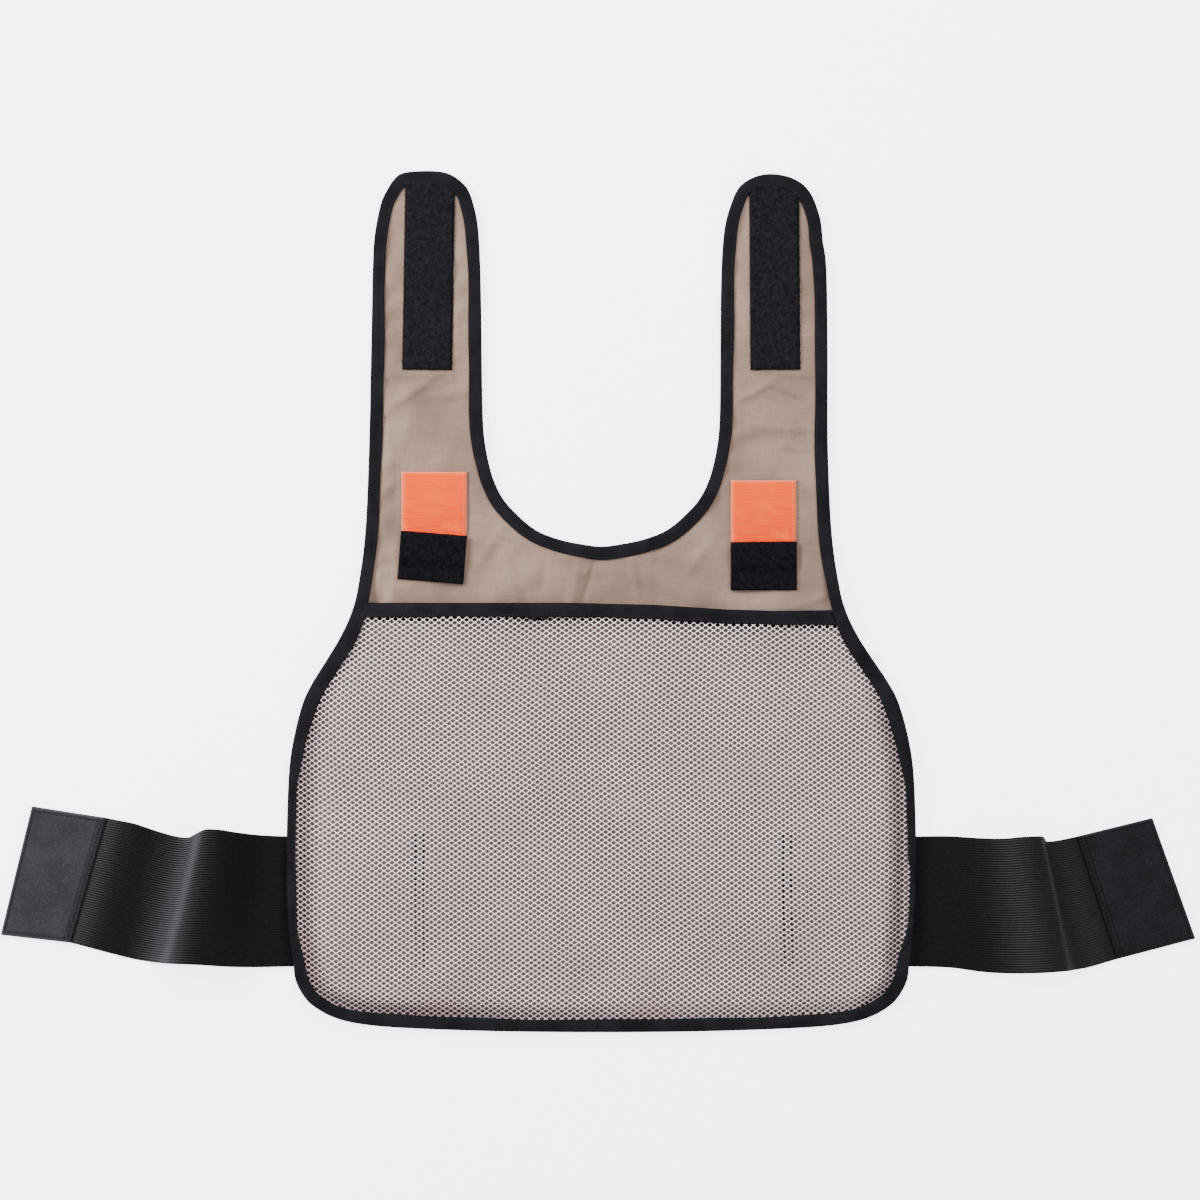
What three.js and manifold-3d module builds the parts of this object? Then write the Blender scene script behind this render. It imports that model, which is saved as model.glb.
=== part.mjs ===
// A cooling vest lying flat with its inner side up: one cloth panel with two shoulder straps, folded
// tape round its edge, a net pocket that is open at the top, loop tape on the shoulders, webbing tabs
// with hook tape on the yoke, and a wide elastic strap sewn under each side.
// Millimetres. +X to the wearer's side on the right of the view, +Y to the shoulders, +Z up.

import * as THREE from "three";
import { mergeVertices } from "three/addons/utils/BufferGeometryUtils.js";
import Module from "manifold-3d";

const wasm = await Module();
wasm.setup();

// Overall cut of the cloth
const vestLength = 658; // hem to the top of the longer shoulder strap
const rightStrapShorter = 2.3; // how much lower the right strap ends
const bodyWidth = 478;
const hemCornerRise = 85; // height over which the hem's corners round off
const armholeLow = 192; // where the side starts to curve in
const armholeHigh = 391; // where the armhole has become the strap's edge
const neckWidth = 183.5; // between the shoulder straps
const neckDepth = 287; // from the strap tops down to the neck's lowest point
const neckCurveRise = 97; // height of the neck's round part
const strapWidth = 84;
const strapEndRise = 68; // length of each strap's rounded end

// Cloth, tape and net
const clothThickness = 1.5;
const tapeThickness = 1.1;
const foldRound = 0.6; // how far a folded tape is rounded at its fold, share of its thickness
const bindingWidth = 10;
const netThickness = 1.2;
const play = 0.4; // between layers that are stacked in a fold
const gap = 0.3; // between pieces that lie on each other
const sagStart = 45; // from the edge, where the panel starts to sink to the surface it lies on
const sagLength = 30;
const foldHeight = 2.4; // of the yoke's highest fold

// Net pocket and the tape on its mouth
const bandWidth = 11;
const bandHeight = 328; // of the band's upper edge above the hem
const netPuff = 7; // how far the net stands off the cloth
const netRiseLength = 14; // from the binding to where the net is at its full height
const mouthRise = 6; // how far the pocket's mouth stands open in the middle
const mouthRiseLength = 70;
const bandRoomLength = 30;
const cornerEase = 0.85; // how much of a grid step later the net rises along the hem's corners
const cornerEaseFrom = 0.25; // shares of half the body's width between which that sets in
const cornerEaseTo = 0.6;

// Shoulder loop tape
const loopWidth = 38;
const loopThickness = 2;
const loopLow = 506; // its lower end above the hem
const loopOffset = 133; // of its middle from the vest's middle

// Webbing and hook tape on the yoke
const webbingWidth = 50;
const webbingLength = 62;
const webbingThickness = 2;
const hookLength = 37;
const hookWidth = 50.5;
const hookThickness = 2;
const hookLap = 15; // of hook tape on webbing
const hookStep = 6; // length over which the hook tape comes down off the webbing

// Elastic side straps
const elasticWidth = 99;
const elasticThickness = 1.8;
const elasticMiddle = 99.5; // above the hem
const elasticReachLeft = 220;
const elasticReachRight = 215;
const elasticAnchor = 133; // its sewn end from the vest's middle
const waveHeightLeft = 22;
const waveHeightRight = 15;
const patchThickness = 1.5;
const liftRamp = 30; // length over which the cloth comes down off the elastic

// Fineness of the mesh
const outlineSteps = 190;
const gridStep = 26;
const strapSteps = 26;
const leastStep = 1;

const bodyHalf = bodyWidth / 2;
const neckHalf = neckWidth / 2;
const neckLow = vestLength - neckDepth;
const strapEndLow = vestLength - strapEndRise;
const panelBase = tapeThickness + play;
const panelTop = panelBase + clothThickness;
const netBase = panelTop + play;
const bandRoom = tapeThickness + play;
const loft = elasticThickness + gap;

// Edge of the lower body, from the middle of the hem to the full width.
// up: share of the corner's rise. out: share of half the body's width
const HEM_CORNER = [
  { up: 0.013, out: 0.4 },
  { up: 0.059, out: 0.73 },
  { up: 0.104, out: 0.823 },
  { up: 0.148, out: 0.868 },
  { up: 0.193, out: 0.898 },
  { up: 0.284, out: 0.94 },
  { up: 0.464, out: 0.976 },
  { up: 0.644, out: 0.984 },
  { up: 1, out: 1 },
];

// Armhole. up: share of its height. in: share of the way from the side to the strap's outer edge
const ARMHOLE = [
  { up: 0, in: 0 },
  { up: 0.15, in: 0.06 },
  { up: 0.31, in: 0.2 },
  { up: 0.385, in: 0.327 },
  { up: 0.46, in: 0.485 },
  { up: 0.54, in: 0.65 },
  { up: 0.615, in: 0.775 },
  { up: 0.69, in: 0.862 },
  { up: 0.77, in: 0.913 },
  { up: 0.88, in: 0.965 },
];

// Straight part of the strap's outer edge. up: share of its length.
// left and right: share of the strap's width from the neck's side
const STRAP_EDGE = [
  { up: 0, left: 1.048, right: 0.996 },
  { up: 0.3, left: 1.02, right: 0.969 },
  { up: 0.7, left: 1, right: 0.967 },
  { up: 1, left: 0.985, right: 0.951 },
];

// Rounded end of the strap, over its top to the neck's side. up: share of the end's rise
const STRAP_END = [
  { up: 0.22, left: 0.975, right: 0.924 },
  { up: 0.446, left: 0.948, right: 0.906 },
  { up: 0.675, left: 0.902, right: 0.851 },
  { up: 0.788, left: 0.856, right: 0.806 },
  { up: 0.88, left: 0.811, right: 0.742 },
  { up: 0.965, left: 0.738, right: 0.62 },
  { up: 1, left: 0.52, right: 0.46 },
  { up: 0.975, left: 0.31, right: 0.32 },
  { up: 0.88, left: 0.182, right: 0.186 },
  { up: 0.788, left: 0.119, right: 0.131 },
  { up: 0.675, left: 0.082, right: 0.095 },
  { up: 0.446, left: 0.037, right: 0.04 },
  { up: 0, left: 0.01, right: 0.004 },
];

// Neck, from the strap down to its lowest point. up: share of the curve's rise.
// out: share of half the neck's width
const NECK = [
  { up: 1, out: 0.985 },
  { up: 0.842, out: 0.972 },
  { up: 0.684, out: 0.943 },
  { up: 0.526, out: 0.897 },
  { up: 0.368, out: 0.813 },
  { up: 0.214, out: 0.66 },
  { up: 0.155, out: 0.585 },
  { up: 0.107, out: 0.5 },
  { up: 0.052, out: 0.335 },
  { up: 0.02, out: 0.17 },
];

// How far the band's upper edge drops from left to right.
// across: share of half the body's width. drop: share of the band's width
const BAND_DRIFT = [
  { across: -1, drop: 0 },
  { across: -0.1, drop: 0 },
  { across: 0.17, drop: 0.14 },
  { across: 0.4, drop: 0.46 },
  { across: 0.55, drop: 0.56 },
  { across: 1, drop: 0.5 },
];

// Soft folds in the yoke and straps. across: share of half the body's width. up: share of the height
// of the loop tape's lower end. length and width: shares of the strap's width. turn: degrees.
// height: share of the highest
const FOLDS = [
  { across: -0.67, up: 0.904, length: 0.5, width: 0.16, turn: 8, height: 0.8 },
  { across: -0.49, up: 0.934, length: 0.35, width: 0.14, turn: -14, height: 0.6 },
  { across: 0.66, up: 0.897, length: 0.45, width: 0.16, turn: -10, height: 1 },
  { across: 0.47, up: 0.931, length: 0.4, width: 0.14, turn: 12, height: 0.7 },
  { across: -0.24, up: 0.683, length: 0.35, width: 0.1, turn: 24, height: 0.7 },
  { across: 0.24, up: 0.676, length: 0.4, width: 0.1, turn: -20, height: 0.8 },
];

// Loop tape. side: which strap. lean: degrees
const LOOP_STRIPS = [
  { name: "loop_strip_left", side: -1, lean: -0.9 },
  { name: "loop_strip_right", side: 1, lean: 0.4 },
];

// Yoke tabs. across: share of half the body's width. up: height of the webbing's top, share of the
// band's height. turn: degrees that the hook tape is turned
const TABS = [
  { name: "left", across: -0.534, up: 1.305, turn: -4.6 },
  { name: "right", across: 0.5185, up: 1.285, turn: 0.4 },
];

// Elastic straps from the side out. topAlong and lowAlong: how far the upper and the lower edge have
// come, share of the reach. topDrift and lowDrift: how far each has moved up, share of the strap's
// width. lift: share of the wave's height
const WAVE_LEFT = [
  { topAlong: 0, lowAlong: 0, topDrift: 0, lowDrift: 0, lift: 0 },
  { topAlong: 0.094, lowAlong: 0.108, topDrift: 0.012, lowDrift: -0.003, lift: 0.12 },
  { topAlong: 0.17, lowAlong: 0.205, topDrift: 0.039, lowDrift: 0.01, lift: 0.55 },
  { topAlong: 0.226, lowAlong: 0.288, topDrift: 0.065, lowDrift: 0.031, lift: 0.93 },
  { topAlong: 0.281, lowAlong: 0.354, topDrift: 0.07, lowDrift: 0.04, lift: 1 },
  { topAlong: 0.3125, lowAlong: 0.389, topDrift: 0.039, lowDrift: 0.039, lift: 0.82 },
  { topAlong: 0.344, lowAlong: 0.427, topDrift: 0.003, lowDrift: 0.036, lift: 0.5 },
  { topAlong: 0.392, lowAlong: 0.476, topDrift: 0.004, lowDrift: 0.039, lift: 0.16 },
  { topAlong: 0.455, lowAlong: 0.531, topDrift: 0.039, lowDrift: 0.054, lift: 0 },
  { topAlong: 0.535, lowAlong: 0.615, topDrift: 0.1, lowDrift: 0.101, lift: 0.06 },
  { topAlong: 0.587, lowAlong: 0.698, topDrift: 0.124, lowDrift: 0.151, lift: 0.08 },
  { topAlong: 0.635, lowAlong: 0.759, topDrift: 0.144, lowDrift: 0.184, lift: 0 },
  { topAlong: 0.892, lowAlong: 1, topDrift: 0.233, lowDrift: 0.244, lift: 0 },
];
const WAVE_RIGHT = [
  { topAlong: 0, lowAlong: 0, topDrift: 0, lowDrift: 0, lift: 0 },
  { topAlong: 0.125, lowAlong: 0.128, topDrift: 0.003, lowDrift: -0.008, lift: 0.1 },
  { topAlong: 0.228, lowAlong: 0.253, topDrift: -0.008, lowDrift: -0.039, lift: 0.4 },
  { topAlong: 0.307, lowAlong: 0.349, topDrift: -0.008, lowDrift: -0.042, lift: 0.8 },
  { topAlong: 0.378, lowAlong: 0.435, topDrift: 0.008, lowDrift: -0.036, lift: 1 },
  { topAlong: 0.431, lowAlong: 0.506, topDrift: 0.012, lowDrift: -0.028, lift: 0.88 },
  { topAlong: 0.46, lowAlong: 0.556, topDrift: 0, lowDrift: -0.022, lift: 0.5 },
  { topAlong: 0.506, lowAlong: 0.61, topDrift: -0.027, lowDrift: -0.008, lift: 0.18 },
  { topAlong: 0.581, lowAlong: 0.724, topDrift: 0, lowDrift: 0.058, lift: 0 },
  { topAlong: 0.848, lowAlong: 1, topDrift: 0.143, lowDrift: 0.216, lift: 0 },
];

const COLOURS = {
  cloth: { color: 0xad998f, roughness: 0.9, metalness: 0 },
  binding: { color: 0x1e1d24, roughness: 0.8, metalness: 0 },
  net: { color: 0xcfc2bf, roughness: 0.7, metalness: 0 },
  loop: { color: 0x16161b, roughness: 1, metalness: 0 },
  webbing: { color: 0xf7895f, roughness: 0.6, metalness: 0 },
  hook: { color: 0x131318, roughness: 0.9, metalness: 0 },
  elastic: { color: 0x1e1e23, roughness: 0.5, metalness: 0 },
  patch: { color: 0x33323a, roughness: 0.9, metalness: 0 },
};

const lerp = THREE.MathUtils.lerp;
const clamp = THREE.MathUtils.clamp;
const smooth = THREE.MathUtils.smoothstep;
const ramp = (value, from, to) => clamp((value - from) / (to - from), 0, 1);

// Value of a table's column at a place in another column, in straight stretches
function tableAt(rows, key, column, place) {
  const next = rows.findIndex((row) => row[key] >= place);
  if (next <= 0) return rows.at(next)[column];
  const from = rows[next - 1];
  const to = rows[next];
  return lerp(from[column], to[column], (place - from[key]) / (to[key] - from[key]));
}

// One side of the vest's outline, from the hem round the strap to the neck
function sideOfOutline(side) {
  const sign = side === "left" ? -1 : 1;
  const drop = side === "left" ? 0 : rightStrapShorter;
  const strapEdge = (row) => neckHalf + strapWidth * row[side];
  const hem = HEM_CORNER.map((row) => [bodyHalf * row.out, hemCornerRise * row.up]);
  const armhole = ARMHOLE.map((row) => [
    lerp(bodyHalf, strapEdge(STRAP_EDGE[0]), row.in),
    lerp(armholeLow, armholeHigh, row.up),
  ]);
  const edge = STRAP_EDGE.map((row) => [strapEdge(row), lerp(armholeHigh, strapEndLow, row.up)]);
  const end = STRAP_END.map((row) => [strapEdge(row), strapEndLow + (strapEndRise - drop) * row.up]);
  const neck = NECK.map((row) => [neckHalf * row.out, neckLow + neckCurveRise * row.up]);
  return [...hem, ...armhole, ...edge, ...end, ...neck].map(([x, y]) => new THREE.Vector3(sign * x, y, 0));
}

// The whole outline, anticlockwise from the middle of the hem, in even steps
function makeOutline() {
  const hemMiddle = new THREE.Vector3(0, 0, 0);
  const neckMiddle = new THREE.Vector3(0, neckLow, 0);
  const points = [hemMiddle, ...sideOfOutline("right"), neckMiddle, ...sideOfOutline("left").reverse()];
  const curve = new THREE.CatmullRomCurve3(points, true, "centripetal");
  return curve.getSpacedPoints(outlineSteps).slice(0, outlineSteps);
}

const outline = makeOutline();

// Unit vector into the cloth at each point of the outline
const inward = outline.map((point, i) => {
  const before = outline.at(i - 1);
  const after = outline[(i + 1) % outline.length];
  const way = new THREE.Vector2(after.x - before.x, after.y - before.y).normalize();
  return new THREE.Vector2(-way.y, way.x);
});

// The outline moved into the cloth
function insetOutline(inset) {
  return outline.map((point, i) => {
    const way = inward[i];
    return new THREE.Vector2(point.x + way.x * inset, point.y + way.y * inset);
  });
}

// Distance from the outline to a place, below zero outside it
function depthAt(x, y) {
  let nearest = Infinity;
  let inside = false;
  outline.forEach((a, i) => {
    const b = outline[(i + 1) % outline.length];
    const length = a.distanceToSquared(b);
    const along = clamp(((x - a.x) * (b.x - a.x) + (y - a.y) * (b.y - a.y)) / length, 0, 1);
    const away = Math.hypot(x - lerp(a.x, b.x, along), y - lerp(a.y, b.y, along));
    nearest = Math.min(nearest, away);
    const crosses = a.y > y !== b.y > y;
    if (crosses && x < lerp(a.x, b.x, (y - a.y) / (b.y - a.y))) inside = !inside;
  });
  return inside ? nearest : -nearest;
}

// Height of the band's upper edge
function bandTopAt(x) {
  const drop = tableAt(BAND_DRIFT, "across", "drop", clamp(x / bodyHalf, -1, 1));
  return bandHeight - bandWidth * drop;
}

const elasticLow = elasticMiddle - elasticWidth / 2;
const elasticHigh = elasticMiddle + elasticWidth / 2;

// How far the elastic that lies under the cloth lifts all that is above it
function loftAt(x, y) {
  const along = ramp(Math.abs(x), elasticAnchor - play - liftRamp, elasticAnchor - play);
  const below = ramp(y, elasticLow - play - liftRamp, elasticLow - play);
  const above = 1 - ramp(y, elasticHigh + play, elasticHigh + play + liftRamp);
  return loft * Math.min(along, below, above);
}

// Height of one soft fold at a place
function foldAt(row, x, y) {
  const turn = THREE.MathUtils.degToRad(row.turn);
  const dx = x - row.across * bodyHalf;
  const dy = y - row.up * loopLow;
  const along = (dx * Math.cos(turn) + dy * Math.sin(turn)) / (row.length * strapWidth);
  const across = (dy * Math.cos(turn) - dx * Math.sin(turn)) / (row.width * strapWidth);
  return foldHeight * row.height * Math.exp(-along * along - across * across);
}

// Underside of the panel
function panelUnder(x, y) {
  const depth = depthAt(x, y);
  const sag = panelBase * smooth(depth, sagStart, sagStart + sagLength);
  const free = smooth(depth, bindingWidth + gridStep / 2, bindingWidth + gridStep);
  const folds = FOLDS.reduce((sum, row) => sum + foldAt(row, x, y), 0);
  return panelBase + loftAt(x, y) - sag + folds * free;
}

// Extra height that the band's lower fold needs above the panel
const bandLift = (y) =>
  bandRoom * ramp(y, bandHeight - bandWidth * 2 - bandRoomLength, bandHeight - bandWidth * 2);

// Underside of the net
function netUnder(x, y) {
  const atHem = 1 - ramp(y, hemCornerRise - gridStep, hemCornerRise);
  const inCorner = atHem * ramp(Math.abs(x), bodyHalf * cornerEaseFrom, bodyHalf * cornerEaseTo);
  const inArmhole = ramp(y, armholeLow - gridStep, armholeLow);
  const riseStart = bindingWidth + gridStep * Math.max(inCorner * cornerEase, inArmhole);
  const puff = netPuff * smooth(depthAt(x, y), riseStart, riseStart + netRiseLength);
  const mouthHalf = neckHalf + strapWidth - bindingWidth;
  const mouth = mouthRise * smooth(mouthHalf - Math.abs(x), 0, mouthRiseLength);
  const towardsMouth = ramp(y, bandHeight - bandWidth * 2 - bandRoomLength * 2, bandHeight - bandWidth * 2);
  return netBase + loftAt(x, y) + bandLift(y) + lerp(puff, mouth, towardsMouth);
}

// A closed three.js mesh as a solid, and back
function toSolid(geometry) {
  const bare = geometry.clone();
  bare.deleteAttribute("normal");
  bare.deleteAttribute("uv");
  const merged = mergeVertices(bare, 1e-4);
  return new wasm.Manifold(
    new wasm.Mesh({
      numProp: 3,
      vertProperties: new Float32Array(merged.attributes.position.array),
      triVerts: new Uint32Array(merged.index.array),
    }),
  );
}

function toGeometry(solid) {
  const mesh = solid.getMesh();
  const geometry = new THREE.BufferGeometry();
  geometry.setAttribute("position", new THREE.BufferAttribute(new Float32Array(mesh.vertProperties), 3));
  geometry.setIndex(Array.from(mesh.triVerts));
  return geometry;
}

// A closed tube through rings of the same number of points. A loop of rings needs no ends
function tubeThrough(rings, isLoop) {
  const size = rings[0].length;
  const positions = rings.flat().flatMap((point) => [point.x, point.y, point.z]);
  const index = [];
  const last = isLoop ? rings.length : rings.length - 1;
  for (let i = 0; i < last; i += 1) {
    const here = i * size;
    const there = ((i + 1) % rings.length) * size;
    for (let j = 0; j < size; j += 1) {
      const k = (j + 1) % size;
      index.push(here + j, here + k, there + k, here + j, there + k, there + j);
    }
  }
  if (!isLoop) {
    const end = (rings.length - 1) * size;
    const flat = rings[0].map((point) => new THREE.Vector2(point.y, point.z));
    const turned = THREE.ShapeUtils.isClockWise(flat);
    THREE.ShapeUtils.triangulateShape(flat, []).forEach((corners) => {
      const [a, b, c] = turned ? corners.reverse() : corners;
      index.push(a, c, b, end + a, end + b, end + c);
    });
  }
  const geometry = new THREE.BufferGeometry();
  geometry.setAttribute("position", new THREE.Float32BufferAttribute(positions, 3));
  geometry.setIndex(index);
  return geometry;
}

// Grid lines through the given places, with evenly spaced ones between those that lie far apart
function gridLines(marks, step) {
  const sorted = [...marks].sort((a, b) => a - b);
  return sorted.flatMap((mark, i) => {
    if (i === sorted.length - 1) return [mark];
    const span = sorted[i + 1] - mark;
    if (span < leastStep) return [];
    const count = Math.ceil(span / step);
    return Array.from({ length: count }, (_, j) => mark + (span * j) / count);
  });
}

const edgeBands = [bindingWidth, bindingWidth + netRiseLength / 2, bindingWidth + netRiseLength];
const halfColumns = gridLines(
  [
    0,
    elasticAnchor - play - liftRamp,
    elasticAnchor - play,
    neckHalf,
    ...edgeBands.map((band) => bodyHalf - band),
    bodyHalf + bindingWidth,
  ],
  gridStep,
);
const columns = [...halfColumns.slice(1).map((x) => -x).reverse(), ...halfColumns];
const rows = gridLines(
  [
    -bindingWidth,
    ...edgeBands,
    elasticLow - play,
    elasticHigh + play,
    elasticHigh + play + liftRamp,
    bandHeight - bandWidth * 2 - bandRoomLength,
    bandHeight - bandWidth * 2,
    bandHeight + bandWidth,
    bandHeight * TABS[0].up + gap,
    loopLow - gap,
    vestLength + bindingWidth,
  ],
  gridStep,
);

// A sheet of even thickness over the grid, from the lowest row up to the given height
function gridSheet(under, thickness, upTo) {
  const used = rows.slice(0, rows.findIndex((y) => y >= upTo) + 1);
  const rings = used.map((y) => {
    const low = columns.map((x) => new THREE.Vector3(x, y, under(x, y)));
    const high = low.map((point) => point.clone().setZ(point.z + thickness)).reverse();
    return [...low, ...high];
  });
  const size = columns.length;
  const around = size * 2;
  const positions = rings.flat().flatMap((point) => [point.x, point.y, point.z]);
  const index = [];
  const quad = (a, b, c, d) => index.push(a, b, c, a, c, d);
  const low = (i, j) => i * around + j;
  const high = (i, j) => i * around + around - 1 - j;
  for (let i = 0; i < used.length - 1; i += 1) {
    for (let j = 0; j < size - 1; j += 1) {
      quad(low(i, j), low(i + 1, j), low(i + 1, j + 1), low(i, j + 1));
      index.push(high(i, j), high(i, j + 1), high(i + 1, j + 1));
      index.push(high(i, j), high(i + 1, j + 1), high(i + 1, j));
    }
    quad(low(i, 0), high(i, 0), high(i + 1, 0), low(i + 1, 0));
    quad(low(i, size - 1), low(i + 1, size - 1), high(i + 1, size - 1), high(i, size - 1));
  }
  const top = used.length - 1;
  for (let j = 0; j < size - 1; j += 1) {
    quad(low(0, j), low(0, j + 1), high(0, j + 1), high(0, j));
    quad(low(top, j), high(top, j), high(top, j + 1), low(top, j + 1));
  }
  const geometry = new THREE.BufferGeometry();
  geometry.setAttribute("position", new THREE.Float32BufferAttribute(positions, 3));
  geometry.setIndex(index);
  return toSolid(geometry);
}

// An upright block with the given plan, through everything that lies flat
function blockOver(points, from = -bodyHalf, to = bodyHalf) {
  const plan = new THREE.Shape(points);
  const geometry = new THREE.ExtrudeGeometry(plan, { depth: to - from, bevelEnabled: false });
  geometry.translate(0, 0, from);
  return toSolid(geometry);
}

function makeBackPanel() {
  const sheet = gridSheet(panelUnder, clothThickness, vestLength);
  return toGeometry(sheet.intersect(blockOver(insetOutline(tapeThickness + play))));
}

function makeNet() {
  const sheet = gridSheet(netUnder, netThickness, bandHeight);
  const inBinding = blockOver(insetOutline(tapeThickness + play));
  const inBand = columns.map((x) => new THREE.Vector2(x, bandTopAt(x) - tapeThickness - play));
  const left = columns[0];
  const right = columns.at(-1);
  const corners = [new THREE.Vector2(left, -bodyHalf), new THREE.Vector2(right, -bodyHalf)];
  const belowBand = blockOver([...corners, ...inBand.reverse()]);
  return toGeometry(sheet.intersect(inBinding).intersect(belowBand));
}

// Height of the binding's slot: the panel, and the net where the pocket is
function slotTop(y) {
  const netShare = 1 - ramp(y, bandHeight + bandWidth / 2, bandHeight + bandWidth / 2 + bandRoomLength);
  return panelTop + play + netShare * (netThickness + play + bandLift(y));
}

// Folded tape: a U with its fold at the cloth's edge, through the given depth and height
function foldedSection(width, height) {
  const wall = tapeThickness;
  const soft = wall * foldRound;
  return [
    [soft, 0],
    [0, soft],
    [0, height - soft],
    [soft, height],
    [width, height],
    [width, height - wall],
    [wall, height - wall],
    [wall, wall],
    [width, wall],
    [width, 0],
  ];
}

function makeBinding() {
  const rings = outline.map((point, i) =>
    foldedSection(bindingWidth, slotTop(point.y) + tapeThickness)
      .map(([depth, height]) => {
        const x = point.x + inward[i].x * depth;
        const y = point.y + inward[i].y * depth;
        return new THREE.Vector3(x, y, height + loftAt(x, y));
      })
      .reverse(),
  );
  return tubeThrough(rings, true);
}

function makeBand() {
  const height = tapeThickness * 2 + play * 2 + netThickness;
  const middle = bandHeight - bandWidth / 2;
  const rings = columns.map((x) =>
    foldedSection(bandWidth, height).map(([depth, up]) => {
      const base = netUnder(x, middle) - play - tapeThickness;
      return new THREE.Vector3(x, bandTopAt(x) - depth, base + up);
    }),
  );
  const band = toSolid(tubeThrough(rings, false));
  return toGeometry(band.intersect(blockOver(insetOutline(bindingWidth + gap))));
}

// A rectangle's corners about a point, turned in plan
function turnedRectangle(x, y, width, low, high, degrees) {
  const centre = new THREE.Vector2(x, y);
  const turn = THREE.MathUtils.degToRad(degrees);
  return [
    [-width / 2, low],
    [width / 2, low],
    [width / 2, high],
    [-width / 2, high],
  ].map(([dx, dy]) => new THREE.Vector2(x + dx, y + dy).rotateAround(centre, turn));
}

const restOnPanel = panelTop + gap;

function makeLoopStrip(row) {
  const plan = turnedRectangle(row.side * loopOffset, loopLow, loopWidth, 0, vestLength - loopLow, row.lean);
  const strip = blockOver(plan, restOnPanel, restOnPanel + loopThickness);
  return toGeometry(strip.intersect(blockOver(insetOutline(bindingWidth + gap))));
}

function makeWebbing() {
  const geometry = new THREE.BoxGeometry(webbingWidth, webbingLength, webbingThickness);
  geometry.translate(0, -webbingLength / 2, restOnPanel + webbingThickness / 2);
  return geometry;
}

// Hook tape from its lap on the webbing down to the panel, seen from the side
function makeHookTape(degrees) {
  const low = restOnPanel;
  const high = restOnPanel + webbingThickness + gap;
  const turnRoom = Math.abs(Math.sin(THREE.MathUtils.degToRad(degrees))) * hookWidth;
  const lap = hookLap + gap + turnRoom;
  const under = [
    [0, high],
    [-lap, high],
    [-lap - hookStep, low],
    [-hookLength, low],
  ];
  const over = under.map(([y, z]) => [y, z + hookThickness]).reverse();
  const side = new THREE.Shape([...under, ...over].map(([y, z]) => new THREE.Vector2(y, z)));
  const geometry = new THREE.ExtrudeGeometry(side, { depth: hookWidth, bevelEnabled: false });
  geometry.translate(0, 0, -hookWidth / 2);
  // the drawing's x becomes the vest's y, and the depth runs across
  geometry.applyMatrix4(new THREE.Matrix4().set(0, 0, 1, 0, 1, 0, 0, 0, 0, 1, 0, 0, 0, 0, 0, 1));
  return geometry;
}

// Edges of an elastic strap: pairs of an upper and a lower point, with the flat end last
function strapEdges(table, sign, reach, waveHeight) {
  const place = (row, along, drift, edge) =>
    new THREE.Vector3(
      sign * (bodyHalf + reach * row[along]),
      edge + elasticWidth * row[drift],
      waveHeight * row.lift,
    );
  const upper = table.map((row) => place(row, "topAlong", "topDrift", elasticHigh));
  const lower = table.map((row) => place(row, "lowAlong", "lowDrift", elasticLow));
  const wavy = (points) => {
    const curve = new THREE.CatmullRomCurve3(points.slice(0, -1), false, "centripetal");
    const between = curve.getPoints(strapSteps).map((point) => point.setZ(Math.max(point.z, 0)));
    const sewn = new THREE.Vector3(sign * elasticAnchor, points[0].y, 0);
    return [sewn, ...between, points.at(-1)];
  };
  const upperPoints = wavy(upper);
  return wavy(lower).map((point, i) => [upperPoints[i], point]);
}

// A sheet through pairs of points, standing the given height above them
function sheetThrough(pairs, sign, height, thickness) {
  const rings = pairs.map(([upper, lower]) => {
    const ring = [
      new THREE.Vector3(lower.x, lower.y, lower.z + height),
      new THREE.Vector3(upper.x, upper.y, upper.z + height),
      new THREE.Vector3(upper.x, upper.y, upper.z + height + thickness),
      new THREE.Vector3(lower.x, lower.y, lower.z + height + thickness),
    ];
    return sign > 0 ? ring : ring.reverse();
  });
  return tubeThrough(rings, false);
}

const vest = new THREE.Group();

function add(name, geometry, look) {
  const mesh = new THREE.Mesh(geometry, new THREE.MeshStandardMaterial(COLOURS[look]));
  mesh.name = name;
  vest.add(mesh);
  return mesh;
}

add("back_panel", makeBackPanel(), "cloth");
add("edge_binding", makeBinding(), "binding");
add("mesh_pocket", makeNet(), "net");
add("pocket_band", makeBand(), "binding");

for (const row of LOOP_STRIPS) {
  add(row.name, makeLoopStrip(row), "loop");
}

for (const row of TABS) {
  const across = row.across * bodyHalf;
  const top = row.up * bandHeight;
  add(`orange_tab_${row.name}`, makeWebbing(), "webbing").position.set(across, top, 0);
  const hook = add(`hook_tab_${row.name}`, makeHookTape(row.turn), "hook");
  hook.position.set(across, top - webbingLength + hookLap, 0);
  hook.rotation.z = THREE.MathUtils.degToRad(row.turn);
}

const STRAPS = [
  { name: "left", sign: -1, table: WAVE_LEFT, reach: elasticReachLeft, waveHeight: waveHeightLeft },
  { name: "right", sign: 1, table: WAVE_RIGHT, reach: elasticReachRight, waveHeight: waveHeightRight },
];

for (const strap of STRAPS) {
  const pairs = strapEdges(strap.table, strap.sign, strap.reach, strap.waveHeight);
  add(`side_strap_${strap.name}`, sheetThrough(pairs, strap.sign, 0, elasticThickness), "elastic");
  const patch = sheetThrough(pairs.slice(-2), strap.sign, elasticThickness + gap, patchThickness);
  add(`end_patch_${strap.name}`, patch, "patch");
}

// The origin is under the middle of the vest's box
const box = new THREE.Box3().setFromObject(vest);
const middle = box.getCenter(new THREE.Vector3());
vest.position.set(-middle.x, -middle.y, -box.min.z);

export default vest;
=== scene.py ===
"""A cooling vest lying flat with its inner side up, dressed around its solids. Metres, +Z up."""

import math
import random

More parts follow.
